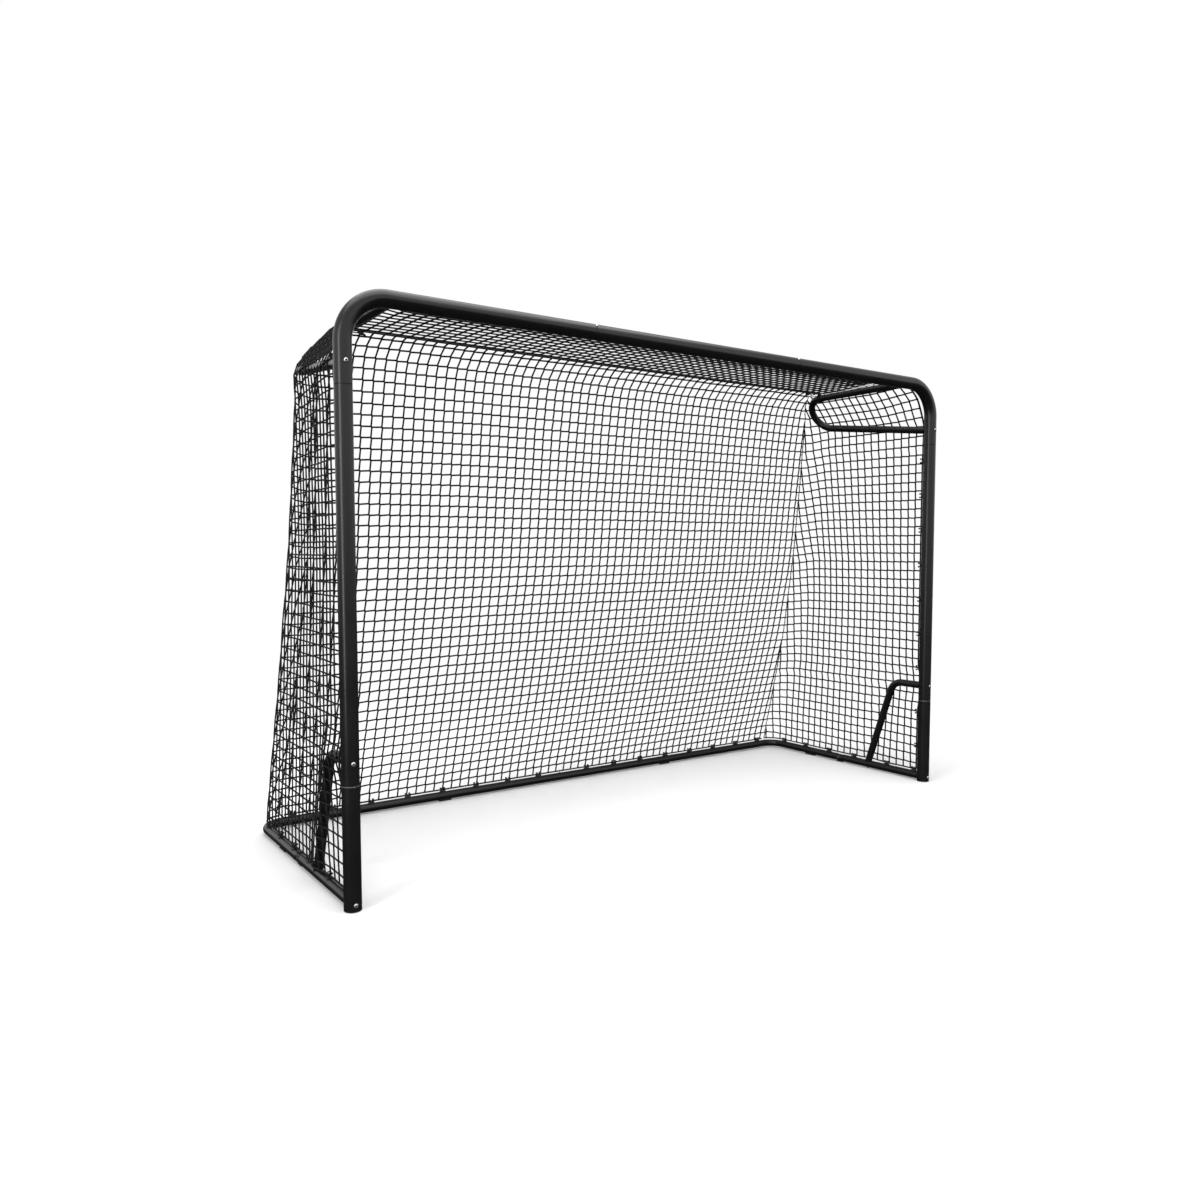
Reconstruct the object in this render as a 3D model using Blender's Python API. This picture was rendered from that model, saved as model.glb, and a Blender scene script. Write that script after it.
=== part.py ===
"""Free-standing sports goal: a bent steel tube frame with a knotted net.

Metres, +Z up.  +X runs along the crossbar, +Y runs from the goal line to the
back.  The origin is on the ground, in the middle of the goal's footprint.
All the geometry below is written from the goal line (Y = 0 on the axis of the
two posts) and is shifted to the origin as each object is made.
"""

import math

import bmesh
import bpy
from mathutils import Vector

# ------------------------------------------------------------------ sizes
GOAL_WIDTH = 3.000          # over the posts
GOAL_HEIGHT = 1.980         # ground to the top of the crossbar
R_POST = 0.029              # post and crossbar tube, 58 mm outside
R_ARM = 0.0175              # top arms and braces, 35 mm outside
R_GROUND = 0.019            # ground frame, 38 mm outside
WALL = 0.0015               # tube wall
GAP = 0.0003                # clearance between touching pieces
COPE = 0.0007               # clearance of a coped tube end from the tube it butts against
POST_X = GOAL_WIDTH / 2 - R_POST
BAR_Z = GOAL_HEIGHT - R_POST
CORNER_R = 0.150            # bend of the corner tubes, on the tube axis

BAR_SEAM_X = 0.527          # joints in the crossbar
UPPER_SEAM_Z = 1.666        # joint between corner tube and post
LOWER_SEAM_Z = 0.404        # joint between the two post tubes
SPIGOT = 0.110              # length of a swaged tube end
CAP_T = 0.003               # thickness of the post's end cap below the tube

ARM_BOLT_Z = 1.739
BRACE_BOLT_Z = 0.480
STUB_BOLT_Z = 0.023

ARM_TOP_X = 1.300           # upper leg of the top arm
ARM_SLOPE = Vector((0.62782, 0.0, -0.77836))   # from the upper leg to the lower leg
ARM_DROP = 0.27237          # distance between the legs, at the goal line
ARM_TAPER = 0.15            # by how much the legs close up, per metre back
ARM_BEND_R = 0.094
ARM_BEND_Y = 0.556

BRACE_BEND_Y = 0.1374
BRACE_BEND_R = 0.070
BRACE_TURN = math.radians(71.15)

GROUND_Z = 0.024            # axis of the ground tubes
BACK_Y = 1.046              # axis of the back tube
GROUND_BEND_R = 0.085
STUB_END_Y = 0.5165         # middle of the stub's slanted end
STUB_SLANT = 0.342
PIVOT_Y = 0.535             # folding axis of the rear ground frame
REAR_TUBE_Y = 0.555         # where the rear side tubes begin
BACK_SEAM_X = 0.040         # joint in the back tube

HEAD_R, HEAD_H = 0.0070, 0.0038    # button head of the post bolts
BOLT_R = 0.0040
BOLT_CLEAR = 0.0047
FOOT_BOLT_Y = 0.3395

CORD_R = 0.0033             # taut cord along the top of the back
CORD_Y, CORD_Z = 0.553, 1.9722
NET_T = 0.002               # thickness of the closed panels that stand for the net

CLIP_PITCH = 0.172
BAR_CLIPS, BAR_CLIP_PITCH = 14, 0.1776
BAR_LEAN = math.radians(6)
SIDE_CLIPS_FRONT = (0.055, 0.222, 0.436)
SIDE_CLIPS_REAR = (0.610, 0.783, 0.948)
POST_CLIPS = (1.594, 1.423, 1.252, 1.080, 0.909, 0.738, 0.567, 0.347, 0.175)

# The goal line lies this far in front of the middle of the footprint.
Y_MID = 0.5 * ((BACK_Y + R_GROUND) - (R_POST + GAP + HEAD_H))

# ------------------------------------------------------------------ scene
for old in list(bpy.data.objects):
    bpy.data.objects.remove(old, do_unlink=True)


def material(name, colour, roughness, metallic=0.0):
    m = bpy.data.materials.new(name)
    m.use_nodes = True
    p = m.node_tree.nodes["Principled BSDF"]
    p.inputs["Base Color"].default_value = (*colour, 1.0)
    p.inputs["Roughness"].default_value = roughness
    p.inputs["Metallic"].default_value = metallic
    return m


COAT = material("powder_coat", (0.030, 0.031, 0.032), 0.42)
STEEL = material("stainless_steel", (0.62, 0.62, 0.62), 0.28, 1.0)
DARK_STEEL = material("dark_steel", (0.10, 0.10, 0.10), 0.40, 1.0)
PLASTIC = material("black_plastic", (0.012, 0.012, 0.012), 0.55)
RUBBER = material("black_rubber", (0.014, 0.014, 0.014), 0.80)
NETTING = material("net_cord", (0.010, 0.010, 0.011), 0.85)


class Shape:
    """Points and faces, built up in the goal-line frame."""

    def __init__(self):
        self.v, self.f = [], []

    def ring(self, points):
        k = len(self.v)
        self.v += [Vector(p) for p in points]
        return list(range(k, k + len(points)))

    def bridge(self, a, b, closed=True):
        n = len(a)
        for i in range(n if closed else n - 1):
            j = (i + 1) % n
            self.f.append((a[i], a[j], b[j], b[i]))

    def cap(self, a, flip=False):
        self.f.append(tuple(reversed(a)) if flip else tuple(a))

    def add(self, other):
        k = len(self.v)
        self.v += other.v
        self.f += [tuple(i + k for i in f) for f in other.f]
        return self

    def mirrored(self):
        out = Shape()
        out.v = [Vector((-p.x, p.y, p.z)) for p in self.v]
        out.f = [tuple(reversed(f)) for f in self.f]
        return out


def make(name, shape, mat, origin, parent=None, smooth=True, cutter=False):
    """One object, its own origin at `origin` (given in the goal-line frame)."""
    origin = Vector(origin)
    mesh = bpy.data.meshes.new(name)
    bm = bmesh.new()
    verts = [bm.verts.new(p - origin) for p in shape.v]
    for f in shape.f:
        bm.faces.new([verts[i] for i in f])
    bmesh.ops.remove_doubles(bm, verts=bm.verts, dist=1e-6)
    bmesh.ops.recalc_face_normals(bm, faces=bm.faces)
    bm.to_mesh(mesh)
    bm.free()
    if smooth:
        mesh.shade_smooth()
        mesh.set_sharp_from_angle(angle=math.radians(32))
    ob = bpy.data.objects.new(name, mesh)
    bpy.context.collection.objects.link(ob)
    ob.location = origin - Vector((0, Y_MID, 0))
    if mat:
        own = mat.copy()
        own.name = name + "_finish"
        mesh.materials.append(own)
    if parent:
        ob.parent = parent
        ob.matrix_parent_inverse.identity()
        ob.location = ob.location - parent.location
    if cutter:
        ob.hide_render = True
        ob.display_type = "WIRE"
    return ob


def pair(name, shape, mat, origin, parent=None, **kw):
    """The right-hand piece and its mirror image on the left."""
    o = Vector(origin)
    right = make(name + "_right", shape, mat, o, parent, **kw)
    left = make(name + "_left", shape.mirrored(), mat, (-o.x, o.y, o.z), parent, **kw)
    return left, right


def cut(objects, cutter, label):
    for ob in objects:
        m = ob.modifiers.new(label, "BOOLEAN")
        m.operation = "DIFFERENCE"
        m.solver = "EXACT"
        m.object = cutter


def fuse(ob, tool, label):
    m = ob.modifiers.new(label, "BOOLEAN")
    m.operation = "UNION"
    m.solver = "EXACT"
    m.object = tool


# ------------------------------------------------------------------ tubes
def circle(centre, tangent, normal, r, n):
    t = Vector(tangent).normalized()
    a = Vector(normal).normalized()
    b = t.cross(a)
    c = Vector(centre)
    return [
        c + r * (math.cos(2 * math.pi * i / n) * a + math.sin(2 * math.pi * i / n) * b)
        for i in range(n)
    ]


def onto_cylinder(points, tangent, axis_point, axis_dir, r, last):
    """Slides each point along the tube until it lies on a round tube: a coped end."""
    d, a, o = Vector(tangent).normalized(), Vector(axis_dir).normalized(), Vector(axis_point)
    out = []
    for p in points:
        w = p - o
        w = w - w.dot(a) * a
        e = d - d.dot(a) * a
        qa, qb, qc = e.dot(e), 2 * w.dot(e), w.dot(w) - r * r
        root = math.sqrt(max(qb * qb - 4 * qa * qc, 0.0))
        t = (-qb + root) / (2 * qa) if not last else (-qb - root) / (2 * qa)
        out.append(p + t * d)
    return out


def hollow_tube(stations, n, normal, cope_start=None, cope_end=None, slant_end=None):
    """stations: (centre, tangent, outer radius, inner radius), in order."""
    s = Shape()
    outer, inner = [], []
    for k, (c, t, ro, ri) in enumerate(stations):
        for r, rings in ((ro, outer), (ri, inner)):
            pts = circle(c, t, normal, r, n)
            if k == 0 and cope_start:
                pts = onto_cylinder(pts, t, *cope_start, last=False)
            if k == len(stations) - 1 and cope_end:
                pts = onto_cylinder(pts, t, *cope_end, last=True)
            if k == len(stations) - 1 and slant_end:
                pts = [slant_end(p) for p in pts]
            rings.append(s.ring(pts))
    for a, b in zip(outer, outer[1:]):
        s.bridge(a, b)
    for a, b in zip(inner, inner[1:]):
        s.bridge(b, a)
    s.bridge(inner[0], outer[0])
    s.bridge(outer[-1], inner[-1])
    return s


def swaged(c, d, r, start):
    """Stations of a tube end that steps down to slide into its neighbour."""
    c, d = Vector(c), Vector(d)
    rs = r - WALL - GAP
    body = [(c - d * 0.006, d, r, r - WALL), (c, d, r, rs - WALL), (c, d, rs, rs - WALL),
            (c + d * SPIGOT, d, rs, rs - WALL)]
    if start:
        return [(p, -d, a, b) for p, _, a, b in reversed(body)]
    return body


def rod(a, b, r, n, normal, chamfer=0.0):
    a, b = Vector(a), Vector(b)
    t = (b - a).normalized()
    s = Shape()
    if chamfer:
        rings = [(a, r - chamfer), (a + t * chamfer, r), (b - t * chamfer, r), (b, r - chamfer)]
    else:
        rings = [(a, r), (b, r)]
    rs = [s.ring(circle(c, t, normal, q, n)) for c, q in rings]
    for p, q in zip(rs, rs[1:]):
        s.bridge(p, q)
    s.cap(rs[0], flip=True)
    s.cap(rs[-1])
    return s


def prism(outline, across, lo, hi):
    """outline: points in the plane perpendicular to `across`."""
    s = Shape()
    a = s.ring([Vector(p) + Vector(across) * lo for p in outline])
    b = s.ring([Vector(p) + Vector(across) * hi for p in outline])
    s.bridge(a, b)
    s.cap(a, flip=True)
    s.cap(b)
    return s


def bend(centre, a, b, r, start, stop, steps):
    """Centres and tangents round a bend; a and b span its plane."""
    centre, a, b = Vector(centre), Vector(a), Vector(b)
    out = []
    for i in range(steps + 1):
        w = start + (stop - start) * i / steps
        out.append((centre + r * (math.cos(w) * a + math.sin(w) * b),
                    (-math.sin(w) * a + math.cos(w) * b) * (1 if stop > start else -1)))
    return out


X, Y, Z = Vector((1, 0, 0)), Vector((0, 1, 0)), Vector((0, 0, 1))
N_BIG, N_SMALL = 16, 12

# crossbar, three pieces: the middle one slides into both corner tubes
left_end = swaged((-BAR_SEAM_X, 0, BAR_Z), -X, R_POST, start=True)
left_end = [(c, X, a, b) for c, _, a, b in left_end]
bar = make("crossbar_middle",
           hollow_tube(left_end + swaged((BAR_SEAM_X, 0, BAR_Z), X, R_POST, start=False), N_BIG, Z),
           COAT, (0, 0, BAR_Z))

# corner tubes
r_in = R_POST - WALL
bend_c = Vector((POST_X - CORNER_R, 0, BAR_Z - CORNER_R))
st = [(Vector((BAR_SEAM_X + GAP, 0, BAR_Z)), X, R_POST, r_in)]
st += [(c, t, R_POST, r_in) for c, t in bend(bend_c, X, Z, CORNER_R, math.pi / 2, 0.0, 10)]
st += [(Vector((POST_X, 0, UPPER_SEAM_Z + GAP)), -Z, R_POST, r_in)]
corners = pair("corner_tube", hollow_tube(st, N_BIG, Y), COAT, (POST_X, 0, BAR_Z))

ARM_N = Vector((-ARM_SLOPE.z, 0, ARM_SLOPE.x))      # outward normal of the arm's plane

# spigot welded to the back of each corner tube, which the top arm slides over
r_sp = R_ARM - WALL - GAP
mid_wall = R_POST - WALL * 0.45
spigot = hollow_tube([(Vector((ARM_TOP_X, 0.0, BAR_Z)), Y, r_sp, r_sp - WALL),
                      (Vector((ARM_TOP_X, 0.085, BAR_Z)), Y, r_sp, r_sp - WALL)],
                     N_SMALL, ARM_N, cope_start=((0, 0, BAR_Z), X, mid_wall))
spigots = pair("weld_spigot", spigot, None, (ARM_TOP_X, 0, BAR_Z), cutter=True)
for ob, tool in zip(corners, spigots):
    fuse(ob, tool, "welded_spigot")

# posts
post_mid = [(Vector((POST_X, 0, LOWER_SEAM_Z + GAP)), Z, R_POST, r_in)]
post_mid += swaged((POST_X, 0, UPPER_SEAM_Z), Z, R_POST, start=False)
posts_mid = pair("post_middle", hollow_tube(post_mid, N_BIG, Y), COAT, (POST_X, 0, LOWER_SEAM_Z))
post_low = [(Vector((POST_X, 0, CAP_T + GAP)), Z, R_POST, r_in)]
post_low += swaged((POST_X, 0, LOWER_SEAM_Z), Z, R_POST, start=False)
posts_low = pair("post_lower", hollow_tube(post_low, N_BIG, Y), COAT, (POST_X, 0, 0))

# end cap: a flange under the tube and a plug inside it
cap = Shape()
rs = [cap.ring(circle((POST_X, 0, z), Z, Y, r, N_BIG)) for z, r in (
    (0.0, R_POST - 0.0012), (0.0012, R_POST), (CAP_T, R_POST), (CAP_T, r_in - GAP),
    (0.046, r_in - GAP), (0.046, r_in - 0.0035), (0.006, r_in - 0.0035))]
for a, b in zip(rs, rs[1:]):
    cap.bridge(a, b)
cap.cap(rs[0], flip=True)
cap.cap(rs[-1])
caps = pair("post_cap", cap, PLASTIC, (POST_X, 0, 0))


# ------------------------------------------------------------------ top arms
arm_a = Vector((ARM_TOP_X, 0, BAR_Z))
last_turn = math.pi / 2 - math.atan(ARM_TAPER)
st = [(arm_a, Y, R_ARM, R_ARM - WALL)]
steps = 12
for i in range(steps + 1):
    w = -math.pi / 2 + (last_turn + math.pi / 2) * i / steps
    c = arm_a + ARM_SLOPE * (ARM_BEND_R + ARM_BEND_R * math.sin(w)) + Y * (ARM_BEND_Y + ARM_BEND_R * math.cos(w))
    t = ARM_SLOPE * math.cos(w) - Y * math.sin(w)
    st.append((c, t, R_ARM, R_ARM - WALL))
arm_foot = arm_a + ARM_SLOPE * ARM_DROP
arm_dir = (ARM_SLOPE * ARM_TAPER - Y).normalized()
st.append((arm_foot, arm_dir, R_ARM, R_ARM - WALL))
arm = hollow_tube(st, N_SMALL, ARM_N,
                  cope_start=((0, 0, BAR_Z), X, R_POST + COPE),
                  cope_end=((POST_X, 0, 0), Z, R_POST + COPE))
arms = pair("top_arm", arm, COAT, (ARM_TOP_X, 0, BAR_Z))

# ------------------------------------------------------------------ braces
bc = Vector((POST_X, BRACE_BEND_Y, BRACE_BOLT_Z - BRACE_BEND_R))
st = [(Vector((POST_X, 0, BRACE_BOLT_Z)), Y, R_ARM, R_ARM - WALL)]
brace_bend = bend(bc, Y, Z, BRACE_BEND_R, math.pi / 2, math.pi / 2 - BRACE_TURN, 6)
st += [(c, t, R_ARM, R_ARM - WALL) for c, t in brace_bend]
brace_dir = brace_bend[-1][1].normalized()
leg0 = brace_bend[-1][0]
reach = (leg0.z - (GROUND_Z + R_GROUND)) / -brace_dir.z
brace_foot = leg0 + brace_dir * reach
st.append((brace_foot, brace_dir, R_ARM, R_ARM - WALL))
brace = hollow_tube(st, N_SMALL, X,
                    cope_start=((POST_X, 0, 0), Z, R_POST + COPE),
                    cope_end=((POST_X, 0, GROUND_Z), Y, R_GROUND + COPE))
braces = pair("brace", brace, COAT, (POST_X, 0, BRACE_BOLT_Z))


# ------------------------------------------------------------------ ground frame
def slant(p):
    return Vector((p.x, STUB_END_Y + (GROUND_Z - p.z) * STUB_SLANT, p.z))


st = [(Vector((POST_X, 0, GROUND_Z)), Y, R_GROUND, R_GROUND - WALL),
      (Vector((POST_X, STUB_END_Y, GROUND_Z)), Y, R_GROUND, R_GROUND - WALL)]
stub = hollow_tube(st, N_SMALL, Z, cope_start=((POST_X, 0, 0), Z, R_POST + COPE), slant_end=slant)
stubs = pair("side_stub", stub, COAT, (POST_X, 0, GROUND_Z))

pivot = bpy.data.objects.new("rear_frame_pivot", None)
bpy.context.collection.objects.link(pivot)
pivot.location = Vector((0, PIVOT_Y - Y_MID, GROUND_Z))

gi = R_GROUND - WALL


def rear_path(end_x):
    c = Vector((POST_X - GROUND_BEND_R, BACK_Y - GROUND_BEND_R, GROUND_Z))
    out = [(Vector((POST_X, REAR_TUBE_Y, GROUND_Z)), Y, R_GROUND, gi)]
    out += [(p, t, R_GROUND, gi) for p, t in bend(c, X, Y, GROUND_BEND_R, 0.0, math.pi / 2, 7)]
    return out


right_path = rear_path(BACK_SEAM_X) + swaged((BACK_SEAM_X, BACK_Y, GROUND_Z), -X, R_GROUND, start=False)
left_path = rear_path(BACK_SEAM_X) + [(Vector((-BACK_SEAM_X + GAP, BACK_Y, GROUND_Z)), -X, R_GROUND, gi)]
rear_right = make("rear_tube_right", hollow_tube(right_path, N_SMALL, Z), COAT,
                  (0, PIVOT_Y, GROUND_Z), pivot)
rear_left = make("rear_tube_left", hollow_tube(left_path, N_SMALL, Z).mirrored(), COAT,
                 (0, PIVOT_Y, GROUND_Z), pivot)

# ------------------------------------------------------------------ hinges
TONGUE_R, EAR_R, PIN_R = 0.0155, 0.0160, 0.0040
P = Vector((POST_X, PIVOT_Y, GROUND_Z))
front_plug = rod((POST_X, 0.470, GROUND_Z), (POST_X, 0.5165, GROUND_Z), gi - GAP, N_SMALL, Z, 0.001)


def at(y, z, x=0.0):
    return Vector((x, y, z))


def round_end(cy, cz, r, a0, a1, steps):
    return [at(cy + r * math.cos(a0 + (a1 - a0) * i / steps), cz + r * math.sin(a0 + (a1 - a0) * i / steps))
            for i in range(steps + 1)]


tongue = prism([at(0.505, GROUND_Z - TONGUE_R)] +
               round_end(PIVOT_Y, GROUND_Z, TONGUE_R, -math.pi / 2, math.pi / 2, 8) +
               [at(0.505, GROUND_Z + TONGUE_R)], X, POST_X - 0.0060, POST_X + 0.0060)
foot = prism([at(0.5125, 0.0000), at(0.5455, 0.0000), at(0.5478, 0.0022), at(0.5478, 0.0055), at(0.5455, 0.0076),
              at(0.5360, 0.0076), at(0.5360, 0.0120), at(0.5250, 0.0120), at(0.5250, 0.0040), at(0.5105, 0.0040),
              at(0.5105, 0.0020)],
             X, POST_X - 0.0058, POST_X + 0.0058)
shoe = prism([at(0.5135, 0.0000), at(0.5452, 0.0000), at(0.5470, 0.0020), at(0.5452, 0.0060),
              at(0.5262, 0.0060), at(0.5240, 0.0040), at(0.5120, 0.0040), at(0.5120, 0.0015)],
             X, POST_X - 0.0110, POST_X + 0.0110)
hinge_front = pair("hinge_front", front_plug, PLASTIC, P)
for label, tool in (("tongue", tongue), ("foot", foot), ("shoe", shoe)):
    tools = pair("hinge_" + label, tool, None, P, cutter=True, smooth=False)
    for ob, t in zip(hinge_front, tools):
        fuse(ob, t, label)

rear_plug = rod((POST_X, 0.5520, GROUND_Z), (POST_X, 0.600, GROUND_Z), gi - GAP, N_SMALL, Z, 0.001)
hinge_rear = pair("hinge_rear", rear_plug, PLASTIC, P, pivot)
ears = Shape()
for lo, hi in ((-0.0150, -0.0065), (0.0065, 0.0150)):
    ears.add(prism([at(0.5545, GROUND_Z + EAR_R)] +
                   round_end(PIVOT_Y, GROUND_Z, EAR_R, math.pi / 2, 3 * math.pi / 2, 10) +
                   [at(0.5545, GROUND_Z - EAR_R)], X, POST_X + lo, POST_X + hi))
ear_tools = pair("hinge_ears", ears, None, P, pivot, cutter=True, smooth=False)
for ob, t in zip(hinge_rear, ear_tools):
    fuse(ob, t, "ears")
# the ears are trimmed to the tube's own outline, so the joint stays slim
trim = hollow_tube([(Vector((POST_X, 0.500, GROUND_Z)), Y, 0.0400, 0.0186),
                    (Vector((POST_X, 0.620, GROUND_Z)), Y, 0.0400, 0.0188)], N_SMALL, Z)
trim_tools = pair("hinge_trim", trim, None, P, pivot, cutter=True, smooth=False)
for ob, t in zip(hinge_rear, trim_tools):
    cut([ob], t, "trim")

pin_hole = rod((POST_X - 0.03, PIVOT_Y, GROUND_Z), (POST_X + 0.03, PIVOT_Y, GROUND_Z), 0.0045, 16, Z)
holes = pair("pin_hole", pin_hole, None, P, cutter=True, smooth=False)
for objs in (hinge_front, hinge_rear):
    for ob, t in zip(objs, holes):
        cut([ob], t, "pin_hole")

pin = Shape()
rs = [pin.ring(circle((POST_X + x, PIVOT_Y, GROUND_Z), X, Z, r, 16)) for x, r in (
    (-0.0170, 0.0044), (-0.0162, 0.0060), (-0.0153, 0.0060), (-0.0153, PIN_R),
    (0.0153, PIN_R), (0.0153, 0.0060), (0.0162, 0.0060), (0.0170, 0.0044))]
for a, b in zip(rs, rs[1:]):
    pin.bridge(a, b)
pin.cap(rs[0], flip=True)
pin.cap(rs[-1])
pair("hinge_pin", pin, DARK_STEEL, P)


# ------------------------------------------------------------------ bolts
def button_bolt(head_at, into, head_r, head_h, shank_r, length, normal, n=12):
    """Domed head with a hexagon socket, on a plain shank that runs along `into`."""
    s = Shape()
    c, d = Vector(head_at), Vector(into).normalized()
    hexa = head_r * 0.40
    out = []
    for h, r in ((0.0, head_r), (0.35, head_r), (0.80, head_r * 0.82), (1.0, head_r * 0.55)):
        out.append(s.ring(circle(c - d * head_h * h, -d, normal, r, n)))

    def socket(depth):
        pts = circle(c - d * (head_h - depth), -d, normal, hexa, n)
        mid = c - d * (head_h - depth)
        return [mid + (p - mid) * (1.0 if n == 6 or i % 2 == 0 else math.cos(math.pi / 6)) for i, p in enumerate(pts)]

    top, floor = s.ring(socket(0.0)), s.ring(socket(head_h * 0.62))
    shank0 = s.ring(circle(c, -d, normal, shank_r, n))
    shank1 = s.ring(circle(c + d * length, -d, normal, shank_r, n))
    for a, b in zip(out, out[1:]):
        s.bridge(a, b)
    s.bridge(out[-1], top)
    s.bridge(top, floor)
    s.cap(floor)
    s.bridge(shank0, out[0])
    s.bridge(shank1, shank0)
    s.cap(shank1, flip=True)
    return s


for name, z in (("arm_bolt", ARM_BOLT_Z), ("brace_bolt", BRACE_BOLT_Z), ("stub_bolt", STUB_BOLT_Z)):
    head = (POST_X, -R_POST - GAP, z)
    pair(name, button_bolt(head, Y, HEAD_R, HEAD_H, BOLT_R, 0.086, Z), STEEL, head)

holes_y = Shape()
for z in (ARM_BOLT_Z, BRACE_BOLT_Z, STUB_BOLT_Z):
    holes_y.add(rod((POST_X, -0.060, z), (POST_X, 0.0605, z), BOLT_CLEAR, 12, Z))
bolt_cutters = pair("bolt_holes", holes_y, None, (POST_X, 0, 0), cutter=True, smooth=False)
for objs in (corners, posts_mid, posts_low, caps):
    for ob, t in zip(objs, bolt_cutters):
        cut([ob], t, "bolt_holes")

# threaded plugs inside the tube ends, which the bolts draw up against the post
arm_back = -arm_dir
plug_r = R_ARM - WALL - GAP
arm_plug = rod(arm_foot + arm_back * 0.0350, arm_foot + arm_back * 0.0640, plug_r, N_SMALL, ARM_N, 0.0010)
brace_plug = rod((POST_X, 0.0330, BRACE_BOLT_Z), (POST_X, 0.0620, BRACE_BOLT_Z), plug_r, N_SMALL, X, 0.0010)
stub_plug = rod((POST_X, 0.0330, GROUND_Z), (POST_X, 0.0620, GROUND_Z), gi - GAP, N_SMALL, Z, 0.0010)
for name, shape, origin in (("arm_plug", arm_plug, arm_foot), ("brace_plug", brace_plug, (POST_X, 0, BRACE_BOLT_Z)),
                            ("stub_plug", stub_plug, (POST_X, 0, GROUND_Z))):
    for ob, t in zip(pair(name, shape, PLASTIC, origin), bolt_cutters):
        cut([ob], t, "thread")

# brace feet: a bolt from below, through the ground tube, into a plug
back_up = -brace_dir
foot_plug = rod(brace_foot + back_up * 0.009, brace_foot + back_up * 0.036, plug_r, N_SMALL, X, 0.0010)
foot_plugs = pair("brace_foot_plug", foot_plug, PLASTIC, brace_foot)
head = (POST_X, FOOT_BOLT_Y, GROUND_Z - R_GROUND - GAP)
pair("brace_foot_bolt", button_bolt(head, Z, 0.0052, 0.0036, 0.0030, 0.0600, Y, n=6), DARK_STEEL, head)
holes_z = rod((POST_X, FOOT_BOLT_Y, -0.010), (POST_X, FOOT_BOLT_Y, 0.0655), 0.0035, 12, Y)
foot_cutters = pair("foot_bolt_hole", holes_z, None, (POST_X, FOOT_BOLT_Y, 0), cutter=True, smooth=False)
for objs in (stubs, foot_plugs):
    for ob, t in zip(objs, foot_cutters):
        cut([ob], t, "foot_bolt_hole")

# screws that lock the crossbar joints, on the seam, 45 degrees up the front
out_dir = Vector((0, -1, 1)).normalized()
bar_c = Vector((BAR_SEAM_X, 0, BAR_Z)) + out_dir * (R_POST + GAP)
pair("crossbar_screw", button_bolt(bar_c, -out_dir, 0.0050, 0.0028, 0.0025, 0.0090, X, n=6), STEEL, bar_c)
bar_hole = rod(bar_c + out_dir * 0.01, bar_c - out_dir * 0.0120, 0.0030, 12, X)
bar_cutters = pair("crossbar_screw_hole", bar_hole, None, bar_c, cutter=True, smooth=False)
for t, corner in zip(bar_cutters, corners):
    cut([bar, corner], t, "screw_hole")

# screw that locks the joint in the back tube
c = Vector((-0.020, BACK_Y, GROUND_Z + R_GROUND + GAP))
make("back_joint_screw", button_bolt(c, -Z, 0.0048, 0.0026, 0.0024, 0.0080, X, n=6), DARK_STEEL, c, pivot)
back_cutter = make("back_screw_hole", rod(c + Z * 0.01, c - Z * 0.0105, 0.0029, 12, X), None, c, pivot,
                   cutter=True, smooth=False)
cut([rear_left, rear_right], back_cutter, "screw_hole")


# ------------------------------------------------------------------ foot pads
def pad(length):
    """Strip under a ground tube, running along Y, its top hollowed to the tube."""
    r = R_GROUND + GAP
    half = 0.0105
    a = math.asin(half / r)
    top = [Vector((r * math.sin(w), 0, GROUND_Z - r * math.cos(w))) for w in
           [a * (1 - 2 * i / 6) for i in range(7)]]
    outline = [Vector((-half + 0.0015, 0, 0)), Vector((half - 0.0015, 0, 0)), Vector((half + 0.0008, 0, 0.0025))]
    outline += top + [Vector((-half - 0.0008, 0, 0.0025))]
    return prism(outline, Y, -length / 2, length / 2)


def moved(shape, turn, to):
    out = Shape()
    c, s = math.cos(turn), math.sin(turn)
    out.v = [Vector((p.x * c - p.y * s, p.x * s + p.y * c, p.z)) + Vector(to) for p in shape.v]
    out.f = list(shape.f)
    return out


SIDE_PAD_Y, BACK_PAD_X = 0.742, 0.650
pair("foot_pad_side", moved(pad(0.064), 0.0, (POST_X, SIDE_PAD_Y, 0)), RUBBER, (POST_X, SIDE_PAD_Y, 0), pivot)
pair("foot_pad_back", moved(pad(0.058), math.pi / 2, (BACK_PAD_X, BACK_Y, 0)), RUBBER, (BACK_PAD_X, BACK_Y, 0), pivot)


# ------------------------------------------------------------------ net clips
SADDLE_T = 0.0026
EDGE_R = 0.0036                      # edge cord of the net, held in the hooks
HOOK_OUT = 0.0090                    # from the tube's surface to the cord's axis


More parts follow.
